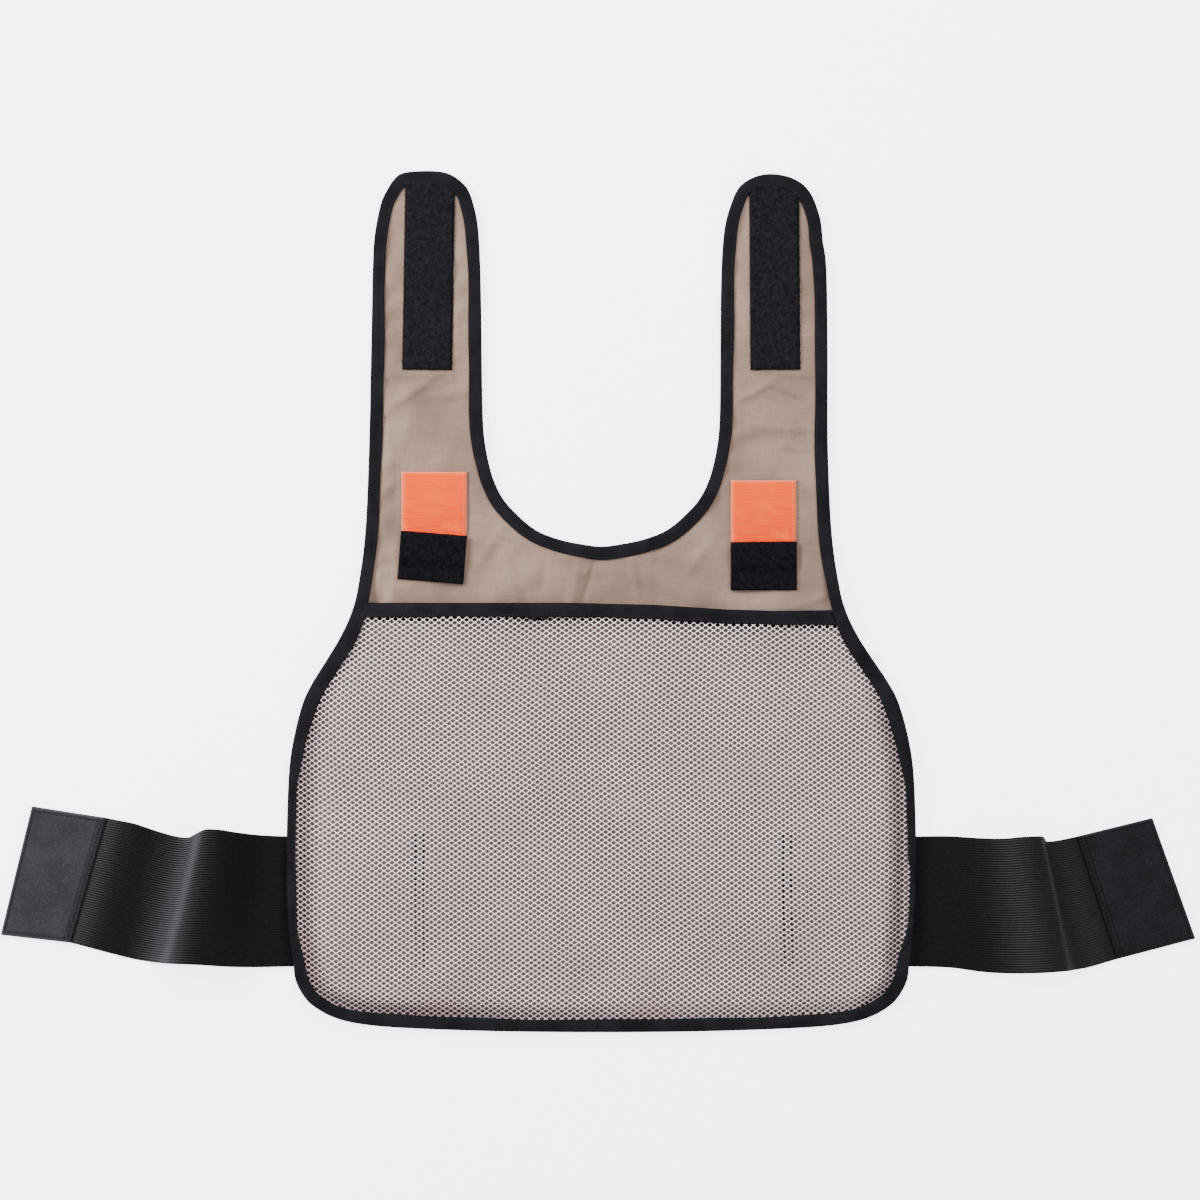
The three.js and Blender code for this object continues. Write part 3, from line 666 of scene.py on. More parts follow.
def folds_at(x, y):
    height = np.zeros_like(x)
    for row in FOLDS:
        dx = x - row["across"] * body_half
        dy = y - row["up"] * loop_low
        height += fold_height * row["height"] * ridge(row, dx, dy, strap_width, strap_width)
    return height


def cloth_under(x, y, depth):
    sag = panel_base * smooth(depth, sag_start, sag_start + sag_length)
    free = smooth(depth, binding_width + 6 * mm, binding_width + 20 * mm)
    return panel_base + loft_at(x, y) - sag + folds_at(x, y) * free


def band_lift(y):
    return band_room * smooth(y, net_turn - band_room_length, net_turn)


def net_under(x, y, depth):
    puff = net_puff * smooth(depth, binding_width * 0.8, binding_width + net_rise_length)
    mouth_half = neck_half + strap_width - binding_width
    mouth = mouth_rise * smooth(mouth_half - np.abs(x), 0, mouth_rise_length)
    share = smooth(y, net_turn - band_room_length * 2, net_turn)
    return net_base + loft_at(x, y) + band_lift(y) + puff * (1 - share) + mouth * share


def slot_top(y):
    low = band_height + band_width / 2
    net_share = 1 - ramp(y, low, low + band_room_length)
    return panel_top + play + net_share * (net_thickness + play + band_lift(y))


def place_in_frame(points):
    points = np.array(points, float)
    points[:, 0] += middle_x
    points[:, 1] += hem_y
    return points


def linked(name, data):
    """A new object in the scene."""
    made = bpy.data.objects.new(name, data)
    bpy.context.collection.objects.link(made)
    return made


def places_of(mesh):
    points = np.empty(len(mesh.vertices) * 3)
    mesh.vertices.foreach_get("co", points)
    return points.reshape(-1, 3)


def shade_smooth(mesh):
    mesh.polygons.foreach_set("use_smooth", [True] * len(mesh.polygons))


def mesh_object(name, points, faces, finish, cut):
    """An object from points in the vest's own place, with where each lies on the cut cloth."""
    mesh = bpy.data.meshes.new(name)
    mesh.from_pydata(place_in_frame(points).tolist(), [], [list(map(int, face)) for face in faces])
    layer = mesh.uv_layers.new(name="cut")
    loops = np.empty(len(mesh.loops), dtype=np.int32)
    mesh.loops.foreach_get("vertex_index", loops)
    layer.data.foreach_set("uv", np.asarray(cut, np.float32)[loops].ravel())
    mesh.update()
    mesh.materials.append(FINISHES[finish])
    shade_smooth(mesh)
    return linked(name, mesh)


def carry(mesh, name, values):
    """Puts one number on each point of a mesh, for its material."""
    mesh.attributes.new(name, "FLOAT", "POINT").data.foreach_set("value", np.asarray(values, np.float32))


def edge_shade(x, y, depth):
    """How much the net's edge lies in shade: most on the sides and at the lower left."""
    near = between(depth, 5 * mm, 12 * mm, 13 * mm, 27 * mm)
    high = 1 - smooth(y, 0.7 * band_height, 0.9 * band_height)
    sides = smooth(np.abs(x), 0.75 * body_half, 0.9 * body_half) * high
    leftward = 1 - smooth(x, -0.55 * body_half, 0.1 * body_half)
    hem = (1 - smooth(y, 30 * mm, 60 * mm)) * (0.35 + 0.65 * leftward)
    return near * np.clip(np.maximum(sides, hem), 0, 1)


def grid_faces(rows, columns, around=False):
    """Quads over a grid of points. around closes the columns into a tube."""
    i, j = np.meshgrid(np.arange(rows - 1), np.arange(columns if around else columns - 1), indexing="ij")
    k = (j + 1) % columns
    corners = [i * columns + j, i * columns + k, (i + 1) * columns + k, (i + 1) * columns + j]
    return np.stack(corners, axis=-1).reshape(-1, 4)


def outward(made):
    """Merges doubles and turns the faces of a closed shell outwards."""
    shell = bmesh.new()
    shell.from_mesh(made.data)
    bmesh.ops.remove_doubles(shell, verts=shell.verts, dist=1e-6)
    bmesh.ops.recalc_face_normals(shell, faces=shell.faces)
    shell.to_mesh(made.data)
    shell.free()
    return made


def thicken(made, thickness):
    """Gives a sheet that faces up its wall, downwards."""
    wall = made.modifiers.new("wall", "SOLIDIFY")
    wall.thickness = thickness
    wall.offset = -1
    return made


def wear(made, slot, *nodes):
    """The piece moves with the vest and stands for its solids."""
    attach(made, "root")
    if nodes:
        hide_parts(*nodes)
    return made


# Geometry node trees: stitches along paths, pile on a surface, the net's cells and the elastic's ribs


def new_tree(name, sockets):
    """A node group on geometry, with named inputs, their first values and a material."""
    tree = bpy.data.node_groups.new(name, "GeometryNodeTree")
    tree.interface.new_socket("Geometry", in_out="INPUT", socket_type="NodeSocketGeometry")
    for label, value in sockets.items():
        kind = "NodeSocketInt" if isinstance(value, int) else "NodeSocketFloat"
        tree.interface.new_socket(label, in_out="INPUT", socket_type=kind).default_value = value
    tree.interface.new_socket("Material", in_out="INPUT", socket_type="NodeSocketMaterial")
    tree.interface.new_socket("Geometry", in_out="OUTPUT", socket_type="NodeSocketGeometry")
    entry = tree.nodes.new("NodeGroupInput")
    return tree, {socket.name: Flow(tree, socket) for socket in entry.outputs if socket.name}


def strewn(tree, points, thing, **sockets):
    """A copy of a thing on each point."""
    sockets.update(Points=points, Instance=thing)
    return node(tree, "GeometryNodeInstanceOnPoints", None, sockets)


def set_position(tree, geometry, **sockets):
    sockets.update(Geometry=geometry)
    return node(tree, "GeometryNodeSetPosition", None, sockets)


def close_tree(tree, geometry, material):
    """Every tree ends in Realize Instances and Set Material."""
    solid = node(tree, "GeometryNodeRealizeInstances", None, {0: geometry})
    painted = node(tree, "GeometryNodeSetMaterial", None, {"Geometry": solid, "Material": material})
    node(tree, "NodeGroupOutput", None, {0: painted})
    return tree


def grow(made, tree, **values):
    """Runs a tree on an object, and turns the result into a plain mesh."""
    modifier = made.modifiers.new("grow", "NODES")
    modifier.node_group = tree
    for item in tree.interface.items_tree:
        if item.item_type == "SOCKET" and item.in_out == "INPUT" and item.name in values:
            modifier[item.identifier] = values[item.name]
    evaluated = made.evaluated_get(bpy.context.evaluated_depsgraph_get())
    mesh = bpy.data.meshes.new_from_object(evaluated)
    name = made.name
    mesh.name = name
    bpy.data.objects.remove(made)
    return linked(name, mesh)


def stitch_tree():
    """A short thread on each step of a path, along it and half sunk in the cloth."""
    tree, given = new_tree("stitches", EDGE_STITCH)
    inputs = {"Curve": given["Geometry"], "Length": given["Pitch"]}
    points = node(tree, "GeometryNodeCurveToPoints", dict(mode="LENGTH"), inputs)
    turn = Flow(tree, points.socket.node.outputs["Rotation"])
    thread = node(tree, "GeometryNodeMeshUVSphere", None, {"Segments": 6, "Rings": 4, "Radius": 1.0})
    scale = triple(tree, given["Thread"] / 2, given["Thread"] / 2, given["Length"] / 2)
    placed = strewn(tree, points, thread, Rotation=turn, Scale=scale)
    return close_tree(tree, placed, given["Material"])


def pile_tree():
    """Short leaning hairs scattered over a tape's face and sides, not on its hidden back."""
    tree, given = new_tree("pile", LOOP_PILE)
    facing = part(tree, node(tree, "GeometryNodeInputNormal"), 2)
    inputs = {"Mesh": given["Geometry"], "Selection": facing.math("GREATER_THAN", -0.5)}
    inputs.update(Density=given["Density"], Seed=given["Seed"])
    method = dict(distribute_method="RANDOM")
    spread = node(tree, "GeometryNodeDistributePointsOnFaces", method, inputs)
    inputs = {"Vertices": 4, "Side Segments": 1, "Fill Segments": 1}
    inputs.update({"Radius Top": 0.35, "Radius Bottom": 1.0, "Depth": 1.0})
    hair = node(tree, "GeometryNodeMeshCone", dict(fill_type="NGON"), inputs)
    low = triple(tree, -given["Lean"], -given["Lean"], -3.1)
    high = triple(tree, given["Lean"], given["Lean"], 3.1)
    inputs = {0: low, 1: high, "Seed": given["Seed"]}
    turn = node(tree, "FunctionNodeRandomValue", dict(data_type="FLOAT_VECTOR"), inputs)
    scale = triple(tree, given["Hair"], given["Hair"], given["Height"])
    placed = strewn(tree, spread, hair, Rotation=turn, Scale=scale)
    joined = node(tree, "GeometryNodeJoinGeometry")
    join = joined.socket.node
    tree.links.new(placed.socket, join.inputs[0])
    tree.links.new(given["Geometry"].socket, join.inputs[0])
    return close_tree(tree, joined, given["Material"])


def net_tree():
    """A closed cell of thread round one hole, on each point, whose faces meet those of its neighbours."""
    tree, given = new_tree("net_cells", NET_CELL)
    inputs = {"Vertices": 8, "Side Segments": 2, "Radius": 1.0, "Depth": 2.0}
    tube = node(tree, "GeometryNodeMeshCylinder", dict(fill_type="NONE"), inputs)
    place = node(tree, "GeometryNodeInputPosition")
    x, y, z = [part(tree, place, axis) for axis in range(3)]
    outer = z.math("ABSOLUTE")
    inner = 1 - outer
    above = z.math("MAXIMUM", 0.0)
    below = z.math("MINIMUM", 0.0)
    rim_x = x * x.math("ABSOLUTE")
    rim_y = y * y.math("ABSOLUTE")
    soft = given["Roundness"]
    hole_x = (x * soft + rim_x * (1 - soft)) * given["Hole width"] / 2
    hole_y = (y * soft + rim_y * (1 - soft)) * given["Hole height"] / 2
    new_x = outer * rim_x * given["Across"] / 2 + inner * hole_x
    new_y = outer * rim_y * given["Rows"] + inner * hole_y
    new_z = given["Thread"] * (above * 0.16 + below * 0.8 + 0.84)
    moved = set_position(tree, tube, Position=triple(tree, new_x, new_y, new_z))
    placed = strewn(tree, given["Geometry"], moved)
    solid = node(tree, "GeometryNodeRealizeInstances", None, {0: placed})
    merged = node(tree, "GeometryNodeMergeByDistance", None, {"Geometry": solid, "Distance": 0.02 * mm})
    return close_tree(tree, merged, given["Material"])


def rib_tree():
    """Raises the sheet in ribs by its place across."""
    tree, given = new_tree("ribs", dict(Pitch=rib_pitch, Height=rib_height))
    across = node(tree, "GeometryNodeInputNamedAttribute", dict(data_type="FLOAT"), {"Name": "across"})
    wave = (across * (2 * math.pi) / given["Pitch"]).math("COSINE") * given["Height"] / 2
    normal = node(tree, "GeometryNodeInputNormal")
    offset = node(tree, "ShaderNodeVectorMath", dict(operation="SCALE"), {0: normal, "Scale": wave})
    moved = set_position(tree, given["Geometry"], Offset=offset)
    return close_tree(tree, moved, given["Material"])


STITCHES = stitch_tree()
PILE = pile_tree()
NET = net_tree()
RIBS = rib_tree()


def stitch_rows(name, paths, stitch, finish, slot, closed=False):
    """Rows of stitches along paths in the vest's own place."""
    curve = bpy.data.curves.new(name, "CURVE")
    curve.dimensions = "3D"
    for path in paths:
        points = place_in_frame(path)
        spline = curve.splines.new("POLY")
        spline.points.add(len(points) - 1)
        spline.points.foreach_set("co", np.hstack([points, np.ones((len(points), 1))]).ravel())
        spline.use_cyclic_u = closed
    grown = grow(linked(name, curve), STITCHES, Material=FINISHES[finish], **stitch)
    return wear(grown, slot)


def body_grid(step):
    x, y = np.meshgrid(np.arange(-body_half, body_half, step), np.arange(0, vest_length, step))
    return np.stack([x.ravel(), y.ravel()], axis=1)


def creased(plan):
    """True where a crease reaches a place."""
    return np.max([shape for _, shape in crease_rows(plan[:, 0], plan[:, 1])], axis=0) > 0.02


def make_cloth():
    """The back panel: a fine sheet inside the outline, lying in soft folds."""
    inset = tape_thickness + play
    edge = OUTLINE + INWARD * inset
    coarse = body_grid(cloth_step)
    fine = body_grid(crease_step)
    inner = np.vstack([coarse[~creased(coarse)], fine[creased(fine)]])
    inner = inner[depth_at(inner) > inset + cloth_step * 0.6]
    flat = [Vector(p) for p in np.vstack([edge, inner])]
    ring = [(i, (i + 1) % len(edge)) for i in range(len(edge))]
    points, _, faces, *_ = delaunay_2d_cdt(flat, ring, [], 1, 1e-7)
    plan = np.array([tuple(p) for p in points])
    depth = depth_at(plan)
    x, y = plan[:, 0], plan[:, 1]
    loose = crinkles(x, y) * smooth(depth, 10 * mm, 22 * mm) + creases_at(x, y) + puckers_at(x, y, depth)
    free = smooth(depth, 8 * mm, 14 * mm) * (1 - pressed(x, y))
    height = cloth_under(x, y, depth) + cloth_thickness + np.maximum(loose, -1.35 * mm) * free
    made = mesh_object("cloth_panel", np.column_stack([plan, height]), faces, "cloth", plan)
    # Painted shade: darker cloth where the net covers it, and deeper painted shade near the net's edge
    covered = 1 - smooth(y, band_height - 9 * mm, band_height - 4 * mm)
    carry(made.data, "covered", covered)
    carry(made.data, "edge", covered * edge_shade(x, y, depth))
    thicken(made, cloth_thickness)
    return wear(made, "cloth", "back_panel")


def pressed(x, y):
    """1 where a tape or a tab presses the cloth flat."""
    flat = np.zeros_like(x)
    rects = [(r["side"] * loop_offset, loop_width / 2, loop_low, vest_length) for r in LOOP_STRIPS]
    for row in TABS:
        top = row["up"] * band_height
        rects.append((row["across"] * body_half, hook_width / 2 + 1.5 * mm, top - tab_length, top))
    for centre, half, low, high in rects:
        away = np.maximum(np.abs(x - centre) - half, np.maximum(low - y, y - high))
        flat = np.maximum(flat, 1 - smooth(away, 0.5 * mm, 5 * mm))
    return flat


def crease_rows(x, y):
    """Each crease's height in metres, and its shape from 0 to 1, at places on the cloth."""
    for row in CREASES:
        shape = ridge(row, x - row["x"] * mm, y - row["y"] * mm, mm, crease_width)
        yield row["height"] * crease_height, shape


def creases_at(x, y):
    return sum(height * shape for height, shape in crease_rows(x, y))


def puckers_at(x, y, depth):
    """Short folds that the edge tape's stitching draws into the cloth."""
    at = y + 0.35 * np.abs(x)
    wave = np.sin(at / 0.0046 + 2.2 * np.sin(at / 0.019)) * (0.55 + 0.45 * np.sin(at / 0.037 + x / 0.05))
    return pucker_height * wave * between(depth, 6 * mm, 12 * mm, 14 * mm, 36 * mm)


def crinkles(x, y):
    """Shallow uneven creases of the cloth."""
    rng = random.Random(11)
    height = np.zeros_like(x)
    for _ in range(crinkle_count):
        wave = rng.uniform(26, 70) * mm
        way = rng.uniform(0, math.pi)
        phase = rng.uniform(0, 2 * math.pi)
        height += np.sin((x * math.cos(way) + y * math.sin(way)) * 2 * math.pi / wave + phase) * wave
    return np.clip(height * crinkle_share, -0.7 * mm, 1.2 * mm)


def visible_binding(points):
    """How wide the tape shows: narrow where it rolls on the sides, wide round the armhole."""
    y = points[:, 1]
    outside = np.abs(points[:, 0]) > neck_half + strap_width * 0.5
    side = between(y, 40 * mm, 80 * mm, 180 * mm, 215 * mm)
    curve = between(y, 215 * mm, 260 * mm, 300 * mm, 335 * mm)
    join = (points[:, 0] > 0) * between(y, 60 * mm, 85 * mm, 126 * mm, 130 * mm)
    width = binding_width - outside * (side * 3.2 * mm - curve * 1.6 * mm + join * 1.9 * mm)
    at = np.arange(len(points)) * outline_step
    return width + 0.35 * mm * np.sin(at / 0.031) + 0.25 * mm * np.sin(at / 0.0117 + 1)


def even_section(*corners):
    """A folded tape's section: how far in and how high each corner lies, all along the tape."""
    width = corners[0][0]
    return [np.broadcast_arrays(across, up, width)[:2] for across, up in corners]


def tape_shell(name, rows, cut, node_name, ends=()):
    """A closed tape from its section's corners in rows, open or closed at its ends."""
    size = len(rows)
    points = np.stack(rows, axis=1).reshape(-1, 3)
    if ends:
        faces = [*grid_faces(len(rows[0]), size, True), *ends]
    else:
        faces = grid_faces(len(rows[0]) + 1, size, True) % len(points)
    made = outward(mesh_object(name, points, faces, "binding", np.stack(cut, axis=1).reshape(-1, 2)))
    return wear(made, "binding", node_name)


def make_binding():
    """Folded tape round the whole edge: round at its fold, with soft puckers on its face."""
    width = visible_binding(OUTLINE)
    top = slot_top(OUTLINE[:, 1]) + tape_thickness
    wall = tape_thickness
    at = np.arange(len(OUTLINE)) * outline_step
    pucker = 0.12 * mm * np.sin(at / 0.0045) + 0.1 * mm * np.sin(at / 0.0021 + 2)
    section = even_section(
        (width, 0),
        (width * 0.5, 0),
        (wall, 0),
        (wall * 0.3, wall * 0.35),
        (0, wall),
        (0, top - wall),
        (wall * 0.3, top - wall * 0.3),
        (wall, top),
        (width * 0.35, top + 0.25 * mm + pucker * 0.5),
        (width * 0.7, top + 0.15 * mm + pucker),
        (width * stitch_line, top - 0.12 * mm),
        (width * 0.93, top + 0.1 * mm + pucker),
        (width, top - wall * 0.35),
        (width - 0.2 * mm, top - wall),
        (width * 0.5, top - wall),
        (wall * 1.2, top - wall),
        (wall * 1.2, wall),
        (width * 0.5, wall),
        (width - 0.2 * mm, wall),
    )
    rows = []
    lengths = []
    for depth, height in section:
        plan = OUTLINE + INWARD * depth[:, None]
        rows.append(np.column_stack([plan, height + loft_at(plan[:, 0], plan[:, 1])]))
        lengths.append(np.column_stack([at, depth + height]))
    tape_shell("binding_tape", rows, lengths, "edge_binding")
    path = OUTLINE + INWARD * (width * stitch_line)[:, None]
    height = slot_top(path[:, 1]) + tape_thickness - 0.02 * mm + loft_at(path[:, 0], path[:, 1])
    path = np.column_stack([path, height])
    stitch_rows("binding_stitches", [path], EDGE_STITCH, "dark_thread", "binding", closed=True)


def net_points():
    """Centres of the net's holes, in offset rows, where the net shows or is sewn in."""
    rows = np.arange(round(band_height / net_rows))
    columns = np.arange(-round(body_half / net_across) - 1, round(body_half / net_across) + 2)
    r, c = np.meshgrid(rows, columns, indexing="ij")
    plan = np.stack([(c + (r % 2) / 2) * net_across, r * net_rows], axis=-1).reshape(-1, 2)
    keep = (depth_at(plan) > net_hidden) & (plan[:, 1] < band_top(plan[:, 0]) - 5 * mm)
    return plan[keep]


def drape_net(mesh):
    """Lays the flat net over the pocket and lets its rows wander a little."""
    points = places_of(mesh)
    x, y = points[:, 0].copy(), points[:, 1].copy()
    depth = depth_at(points[:, :2])
    calm = smooth(depth, 6 * mm, 40 * mm)
    points[:, 0] += calm * (0.9 * mm * np.sin(y / 0.047 + x / 0.19) + 0.5 * mm * np.sin(y / 0.021))
    points[:, 1] += calm * (1.1 * mm * np.sin(x / 0.061 + 1) + 0.6 * mm * np.sin(x / 0.023 + y / 0.1))
    ripple = np.sin(x / 0.017 + y / 0.04) + 0.8 * np.sin(x / 0.031 - y / 0.022 + 1)
    ripple += 0.6 * np.sin(y / 0.013 + x / 0.09)
    ripple = net_ripple * ripple * smooth(depth, 14 * mm, 50 * mm)
    points[:, 2] += net_under(x, y, depth) + ripple
    # Painted shade on the threads where the net turns down to its edge
    carry(mesh, "edge", edge_shade(x, y, depth))
    carry(mesh, "low", 1 - smooth(y, 40 * mm, 170 * mm))
    mesh.vertices.foreach_set("co", place_in_frame(points).ravel())
    shade_smooth(mesh)
    mesh.update()


def make_net():
    """The pocket's net in two halves that meet on the middle line."""
    plan = net_points()
    made = []
    for name, side in (("net_left", plan[:, 0] < 0), ("net_right", plan[:, 0] >= 0)):
        mesh = bpy.data.meshes.new(name)
        mesh.from_pydata([(x, y, 0) for x, y in plan[side]], [], [])
        net = grow(linked(name, mesh), NET, Material=FINISHES["net"])
        drape_net(net.data)
        made.append(wear(net, "net", "mesh_pocket"))
    return made


def reach_at(heights, side, inset):
    """How far out the edge tape's inner edge lies, on one side, at each height."""
    low = np.full(len(heights), neck_half)
    high = np.full(len(heights), body_half)
    for _ in range(16):
        middle = (low + high) / 2
        inside = depth_at(np.column_stack([side * middle, heights])) > inset
        low, high = np.where(inside, middle, low), np.where(inside, high, middle)
    return side * low


def make_band():
    """Tape folded over the net's upper edge, with a row of stitches near its lower edge."""
    height = tape_thickness * 2 + play * 2 + net_thickness
    wall = tape_thickness
    share = np.linspace(0, 1, 130)
    flat = share * 0.35
    width = band_width + 0.3 * mm * np.sin(flat / 0.017) + 0.2 * mm * np.sin(flat / 0.006)
    back = width + 2.4 * mm
    section = even_section(
        (back, 0),
        (width * 0.5, 0),
        (wall, 0),
        (0, wall),
        (0, height - wall),
        (wall, height),
        (width * 0.4, height + 0.25 * mm),
        (width * 0.75, height + 0.1 * mm),
        (width * stitch_line, height - 0.12 * mm),
        (width * 0.93, height + 0.08 * mm),
        (width, height - wall * 0.4),
        (width - 0.2 * mm, height - wall),
        (wall * 1.2, height - wall),
        (wall * 1.2, wall),
        (back - 0.2 * mm, wall),
    )

    def place(depth_in):
        """Places along the band at a depth below its upper edge, from edge tape to edge tape."""
        level = np.array([band_height - float(np.mean(depth_in))])
        left = reach_at(level, -1, binding_width - 1.4 * mm)[0]
        right = reach_at(level, 1, binding_width - 1.4 * mm)[0]
        x = left + (right - left) * share
        return x, band_top(x) - depth_in

    def base_at(x):
        middle = np.full_like(x, band_height - band_width / 2)
        depth = depth_at(np.column_stack([x, middle]))
        return net_under(x, middle, depth) - play - tape_thickness

    rows = []
    cut = []
    for depth_in, up in section:
        x, y = place(depth_in)
        rows.append(np.column_stack([x, y, base_at(x) + up]))
        cut.append(np.column_stack([x, depth_in + up]))
    size = len(section)
    last = len(share) * size
    tape_shell("band_tape", rows, cut, "pocket_band", [range(size), range(last - size, last)])
    x, y = place(width * stitch_line)
    path = np.column_stack([x, y, base_at(x) + height - 0.02 * mm])
    stitch_rows("band_stitches", [path], EDGE_STITCH, "dark_thread", "binding")


def turned(points, degrees, centre):
    """Points turned in plan about a centre and put there."""
    points = np.array(points, float)
    turn = math.radians(degrees)
    x, y = points[:, 0].copy(), points[:, 1].copy()
    points[:, 0] = centre[0] + x * math.cos(turn) - y * math.sin(turn)
    points[:, 1] = centre[1] + x * math.sin(turn) + y * math.cos(turn)
    return points


def slab(name, plan, cut, heights, thickness, finish, columns):
    """A closed tape from a grid of places in plan, with soft edges."""
    rows = len(plan) // columns
    top = np.column_stack([plan, heights])
    i = np.arange(len(plan)) // columns
    j = np.arange(len(plan)) % columns
    rim = (i == 0) | (i == rows - 1) | (j == 0) | (j == columns - 1)
    top[rim, 2] -= thickness * 0.3
    low = np.column_stack([plan, heights - thickness])
    upper = grid_faces(rows, columns)
    count = len(plan)
    ring = [*range(columns)]
    ring += [r * columns + columns - 1 for r in range(1, rows)]
    ring += [(rows - 1) * columns + c for c in range(columns - 2, -1, -1)]
    ring += [r * columns for r in range(rows - 2, 0, -1)]
    walls = [(a, b, b + count, a + count) for a, b in zip(ring, ring[1:] + ring[:1])]
    faces = [*upper, *(upper + count)[:, ::-1], *walls]
    return outward(mesh_object(name, np.vstack([top, low]), faces, finish, np.vstack([cut, cut])))


def tape_grid(width, length, step):
    """Places over a tape from its lower left corner, the tape's middle at x 0."""
    xs = np.linspace(-width / 2, width / 2, max(3, round(width / step)))
    ys = np.linspace(0, length, max(3, round(length / step)))
    gx, gy = np.meshgrid(xs, ys)
    return np.column_stack([gx.ravel(), gy.ravel()]), len(xs)


def make_loop_strips():
    """Loop tape on the shoulders, its upper end cut to the binding."""
    for row in LOOP_STRIPS:
        centre = (row["side"] * loop_offset, loop_low)
        grid, columns = tape_grid(loop_width, vest_length - loop_low, 3 * mm)
        plan = turned(grid, row["lean"], centre)
        limit = binding_width - 1.5 * mm
        for _ in range(6):
            depth = depth_at(plan)
            push = np.clip(limit - depth, 0, None)
            near = np.argmin(np.linalg.norm(plan[:, None, :] - OUTLINE[None, ::3, :], axis=2), axis=1) * 3
            plan = plan + INWARD[near] * push[:, None]
        heights = np.full(len(plan), rest_on_panel + loop_thickness * pile_base)
        name = f"loop_tape_{row['name']}"
        cut = grid + [loop_width / 2, 0]
        made = slab(name, plan, cut, heights, loop_thickness * pile_base, "loop_tape", columns)
        made = grow(made, PILE, Material=FINISHES["loop_tape"], **LOOP_PILE)
        wear(made, "loop_tape", f"loop_strip_{row['name']}")


def make_tabs():
    """Webbing tabs, and the hook tape that laps their lower ends."""
    for row in TABS:
        top = row["up"] * band_height
        across = row["across"] * body_half
        grid, columns = tape_grid(webbing_width, webbing_length, 1.6 * mm)
        tucked = grid.copy()
        tucked[:, 0] *= 1 - 0.07 * (1 - smooth(grid[:, 1], hook_lap - 5 * mm, hook_lap + 1 * mm))
        plan = turned(tucked, 0, (across, top - webbing_length))
        edge = smooth(np.abs(grid[:, 0]), webbing_width * 0.44, webbing_width / 2)
        lump = 0.12 * mm * np.sin(grid[:, 0] / 0.0045) * np.sin(grid[:, 1] / 0.008)
        heights = rest_on_panel + webbing_thickness - edge * 0.35 * mm + lump
        cut = grid + [webbing_width / 2, 0]
        name = f"webbing_{row['name']}"
        webbing = slab(name, plan, cut, heights, webbing_thickness * 0.85, "webbing", columns)
        wear(webbing, "webbing", f"orange_tab_{row['name']}")
        inset = 2.2 * mm
        z = rest_on_panel + webbing_thickness - 0.1 * mm
        left, right = across - webbing_width / 2 + inset, across + webbing_width / 2 - inset
        low = top - webbing_length + hook_lap
        sides = [np.linspace((x, low, z), (x, top - inset, z), 12) for x in (left, right)]
        head = np.linspace((left, top - inset, z), (right, top - inset, z), 12)
        name = f"webbing_stitches_{row['name']}"
        stitch_rows(name, [*sides, head], WEBBING_STITCH, "orange_thread", "webbing")
        make_hook_tape(row, (across, top - webbing_length + hook_lap))


def make_hook_tape(row, head):
    """Hook tape that comes down off the webbing's end on to the cloth, with its hooks."""
    room = abs(math.sin(math.radians(row["turn"]))) * hook_width
    lap = hook_lap + gap + room
    grid, columns = tape_grid(hook_width, hook_length, 1.8 * mm)
    down = hook_length - grid[:, 1]
    high = rest_on_panel + webbing_thickness + gap + hook_thickness
    low = rest_on_panel + hook_thickness
    heights = high + (low - high) * smooth(down, lap, lap + hook_step * 1.4) - 0.8 * mm
    plan = turned(grid - [0, hook_length], row["turn"], head)
    name = f"hook_tape_{row['name']}"
    cut = grid + [hook_width / 2, 0]
    made = slab(name, plan, cut, heights, hook_thickness * pile_base, "hook_tape", columns)
    made = grow(made, PILE, Material=FINISHES["hook_tape"], **HOOK_PILE)
    wear(made, "hook_tape", f"hook_tab_{row['name']}")


def strap_surface(strap):
    """Places on an elastic strap: rows of (upper edge, lower edge) from its sewn end to its free one."""
    rows = strap["wave"]
    sign = strap["sign"]

    def edge(along, drift, start):
        x = [sign * (body_half + strap["reach"] * r[along]) for r in rows]
        y = [start + elastic_width * r[drift] for r in rows]
        points = list(zip(x, y, [strap["wave_height"] * r["lift"] for r in rows]))
        wavy = through(points[:-1], 2.4 * mm, False)
        wavy[:, 2] = np.maximum(wavy[:, 2], 0)
        share = np.linspace(0, 1, len(wavy))
        fixed = np.linspace(0, 1, wavy_rows)
        wavy = np.stack([np.interp(fixed, share, wavy[:, k]) for k in range(3)], axis=1)
        sewn = np.linspace((sign * elastic_anchor, start, 0), wavy[0], sewn_rows)[:-1]
        flat = np.linspace(wavy[-1], points[-1], patch_rows)[1:]
        return np.vstack([sewn, wavy, flat])

    upper = edge("top_along", "top_drift", elastic_high)
    lower = edge("low_along", "low_drift", elastic_low)
    return upper, lower


